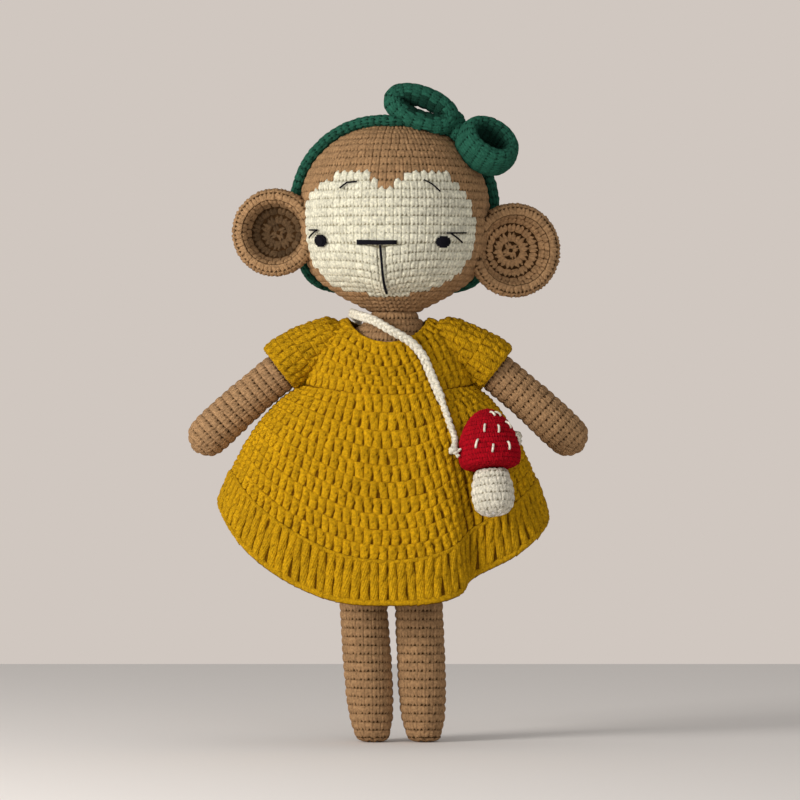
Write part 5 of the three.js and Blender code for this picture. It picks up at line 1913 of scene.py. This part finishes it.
@dataclass
class Strap:
    """The braided strap over the doll's right shoulder, with its two knotted ends on the bag.

    Attributes:
        shapes: The stitches' shapes.
        pitch: Length in which a strand crosses the braid and comes back.
        step: About how far apart its points are.
        strand: Radius of a strand.
        weave: How far a strand moves sideways and in depth.
        knot_strand: Radius of a knot's strand.
        frayed: Radius of a thread of the frayed end.
        route: The part over the dress, from the front bend to the side bend.
        right_end: The right end, from its knot to just before the front bend.
        left_knot: Where the left end's knot is.
        knot: Size of a knot.
    """

    KNOT_STEPS = 48

    shapes: StitchShapes
    pitch: float = 9.0
    step: float = 0.7
    strand: float = 1.08
    weave: Point = (1.25, 0.55)
    knot_strand: float = 0.95
    frayed: float = 0.5
    route: Sequence[tuple[float, float, float]] = (
        (24.42, -23.72, 157.54),
        (19.69, -21.98, 168.86),
        (15.71, -21.52, 177.81),
        (9.90, -20.93, 184.29),
        (1.50, -20.60, 189.20),
        (-6.50, -17.80, 193.80),
        (-13.20, -10.00, 196.00),
        (-16.60, 0.00, 197.10),
        (-15.50, 10.00, 196.00),
        (-10.77, 20.20, 187.05),
        (-2.14, 24.95, 178.72),
        (8.54, 26.30, 169.47),
        (19.98, 23.58, 160.97),
        (31.90, 22.72, 152.03),
        (43.15, 20.35, 146.08),
        (53.73, 14.29, 142.23),
        (59.46, 1.14, 140.84),
        (59.55, -0.94, 140.85),
    )
    right_end: Sequence[tuple[float, float, float]] = (
        (29.80, -42.44, 134.70),
        (30.54, -29.01, 139.26),
        (27.99, -27.10, 147.20),
    )
    left_knot: tuple[float, float, float] = (59.2, -30.2, 138.9)
    knot: float = 2.7

    def _braid(self, work: Work, line: Sequence[Vector]) -> None:
        """Braids three strands along a line."""
        lengths, (across, deep) = running(line), self.weave
        side = Vector((0, 0, 1))
        strands: list[list[Vector]] = [[], [], []]
        for i, point in enumerate(line):
            ahead = (line[min(i + 1, len(line) - 1)] - line[max(i - 1, 0)]).normalized()
            side = (side - ahead * side.dot(ahead)).normalized()
            other = ahead.cross(side)
            for k, points in enumerate(strands):
                turn = 2 * math.pi * (lengths[i] / self.pitch + k / 3)
                offset = side * across * math.sin(turn) + other * deep * math.sin(2 * turn)
                points.append(point + offset)
        for points in strands:
            work.cord(points, self.strand)

    def _knotted(self, work: Work, centre: Vector, tight: float) -> None:
        """Ties a small round knot."""
        points = []
        for i in range(self.KNOT_STEPS):
            angle = 2 * math.pi * i / self.KNOT_STEPS
            swing = 1.25 + 0.5 * math.cos(3 * angle)
            around = (swing * math.cos(2 * angle), swing * math.sin(2 * angle), 0.75 * math.sin(3 * angle))
            points.append(centre + Vector(around) * tight)
        work.cord(points, self.knot_strand * tight, closed=True)

    def _tail(self, work: Work, centre: Vector, away: Vector) -> None:
        """Adds a short frayed end."""
        for k in range(3):
            spread = Vector((0.25 * (k - 1), 0.3 * (k % 2), 0.3 * (k - 1)))
            line = [centre + away * (0.3 + 0.18 * i) + spread * i * 0.35 for i in range(5)]
            work.cord(line, self.frayed, sides=5)

    def build(self) -> None:
        """Braids the strap in its three lengths and ties its knots."""
        route = [Vector(point) for point in self.route]
        self._piece("strap", "torso", through(route, self.step))
        front = [*map(Vector, self.right_end), route[0]]
        self._piece("strap_end_right", "bag", self._from_knot(front))
        side = [Vector(self.left_knot), route[-1]]
        self._piece("strap_end_left", "bag", self._from_knot(side))
        for label, centre, tight in (("right", front[0], 1.0), ("left", side[0], 0.7)):
            work = Work(self.shapes)
            self._knotted(work, centre, tight)
            if label == "right":
                self._tail(work, centre, Vector((2.2, -1.2, -2.6)))
                self._tail(work, centre, Vector((3.0, -1.4, 0.4)))
            work.finish(f"knot_{label}_tied", WHITE, "bag", [f"strap_knot_{label}"])

    def _from_knot(self, points: Sequence[Vector]) -> list[Vector]:
        """A smooth line that starts a little off a knot's middle."""
        line = [point.copy() for point in points]
        line[0] += (line[1] - line[0]).normalized() * (self.knot * 0.6)
        return through(line, self.step)

    def _piece(self, node: str, body: str, line: Sequence[Vector]) -> None:
        """Makes one braided length."""
        work = Work(self.shapes)
        self._braid(work, line)
        work.finish(f"{node}_braid", WHITE, body, [node])


@dataclass(frozen=True)
class Lamp:
    """A soft square lamp that faces the doll."""

    name: str
    place: tuple[float, float, float]
    size: float
    power: float
    tone: tuple[float, float, float]
    aim: tuple[float, float, float] = (0, 0, 150)

    def hang(self) -> None:
        """Hangs the lamp."""
        data = bpy.data.lights.new(self.name, "AREA")
        data.size = self.size * MM
        data.energy = self.power
        data.color = self.tone
        lamp = add_object(self.name, data)
        lamp.location = Vector(self.place) * MM
        lamp.rotation_euler = (Vector(self.aim) - Vector(self.place)).to_track_quat("-Z", "Y").to_euler()


@dataclass
class Studio:
    """A pale floor in a pale room, soft lamps and the camera."""

    FLOOR = "e9e3de"
    WALL = "d0c7c0"

    aim: tuple[float, float, float] = (5.5, 4.48, 157.3)
    distance: float = 2600.0
    elevation: float = 0.5
    frame_width: float = 368.0
    far_edge: float = 650.0
    half_floor: float = 2000.0
    light: float = 0.44
    lamps: Sequence[Lamp] = (
        Lamp("key", (-900, -700, 420), 420, 11.6, (1.0, 0.985, 0.96)),
        Lamp("fill", (300, -1300, 260), 700, 3.5, (0.97, 0.98, 1.0)),
    )

    def build(self) -> None:
        """Sets the stage."""
        self._camera()
        self._floor()
        self._world()
        for lamp in self.lamps:
            lamp.hang()
        bpy.context.scene.view_settings.view_transform = "Standard"

    def _camera(self) -> None:
        """Looks at the doll from straight ahead, a long way off."""
        data = bpy.data.cameras.new("camera")
        data.sensor_width = data.sensor_height = 36
        data.angle = 2 * math.atan(self.frame_width / 2 / self.distance)
        camera = add_object("camera", data)
        tilt = math.radians(self.elevation)
        away = Vector((0, -math.cos(tilt), math.sin(tilt))) * self.distance
        camera.location = (Vector(self.aim) + away) * MM
        camera.rotation_euler = (math.pi / 2 - tilt, 0, 0)
        bpy.context.scene.camera = camera

    def _floor(self) -> None:
        """Lays a large pale floor, whose far edge is the line behind the doll."""
        bm = bmesh.new()
        place = Matrix.Translation((0, (self.far_edge - self.half_floor) * MM, 0))
        bmesh.ops.create_grid(bm, x_segments=1, y_segments=1, size=self.half_floor * MM, matrix=place)
        plane = add_object("floor", as_mesh(bm, "floor", rounded=False))
        material = bpy.data.materials.new("pale_floor")
        material.use_nodes = True
        shader = material.node_tree.nodes["Principled BSDF"]
        set_inputs(shader, {"Base Color": (*linear(self.FLOOR), 1), "Roughness": 0.95})
        set_inputs(shader, {"Specular IOR Level": 0.1})
        plane.data.materials.append(material)

    def _world(self) -> None:
        """Fills the room with soft light, and shows the camera and clear reflections a plain pale wall."""
        world = bpy.data.worlds.new("room")
        bpy.context.scene.world = world
        world.use_nodes = True
        tree = world.node_tree
        light = tree.nodes["Background"]
        set_inputs(light, {"Color": (1.0, 0.99, 0.98, 1), "Strength": self.light})
        seen = tree.nodes.new("ShaderNodeBackground")
        set_inputs(seen, {"Color": (*linear(self.WALL), 1)})
        mix, path = tree.nodes.new("ShaderNodeMixShader"), tree.nodes.new("ShaderNodeLightPath")
        shown = path.outputs["Is Camera Ray"]
        for ray in ("Is Glossy Ray", "Is Transmission Ray"):
            either = tree.nodes.new("ShaderNodeMath")
            either.operation = "MAXIMUM"
            tree.links.new(shown, either.inputs[0])
            tree.links.new(path.outputs[ray], either.inputs[1])
            shown = either.outputs[0]
        tree.links.new(shown, mix.inputs["Fac"])
        tree.links.new(light.outputs["Background"], mix.inputs[1])
        tree.links.new(seen.outputs["Background"], mix.inputs[2])
        tree.links.new(mix.outputs["Shader"], tree.nodes["World Output"].inputs["Surface"])


def fillings() -> list[Filling]:
    """The fibre inside each stuffed piece."""
    pairs = [("head_stuffing", "head"), ("torso_stuffing", "torso")]
    for side in Side:
        pairs += [(f"{limb}_stuffing_{side.label}", f"{limb}_{side.label}") for limb in ("arm", "leg")]
    pairs += [("bag_cap_stuffing", "bag"), ("bag_stem_stuffing", "bag")]
    return [Filling(node, body) for node, body in pairs]


def main() -> None:
    """Builds the doll, piece by piece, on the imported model."""
    logging.basicConfig(level=logging.INFO, format="%(name)s: %(message)s")
    for leftover in list(bpy.data.objects):
        bpy.data.objects.remove(leftover)
    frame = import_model()
    shapes = StitchShapes()
    head = Head(shapes)
    arms = [Arm(shapes, side) for side in Side]
    head.build()
    Face(head).build()
    Ear(head, Side.RIGHT, radius=20.5, height=-10.8).build()
    Ear(head, Side.LEFT, radius=22.0, height=-19.0, shaded=-0.9).build()
    Headband(head).build()
    Torso(shapes).build()
    Leg(shapes, Side.RIGHT, lean=6.2).build()
    Leg(shapes, Side.LEFT, lean=3.4).build()
    for arm in arms:
        arm.build()
    Dress(shapes, arms=arms).build()
    Bag(shapes).build()
    Strap(shapes).build()
    for filling in fillings():
        filling.build(frame)
    Studio().build()


if __name__ == "__main__":
    main()
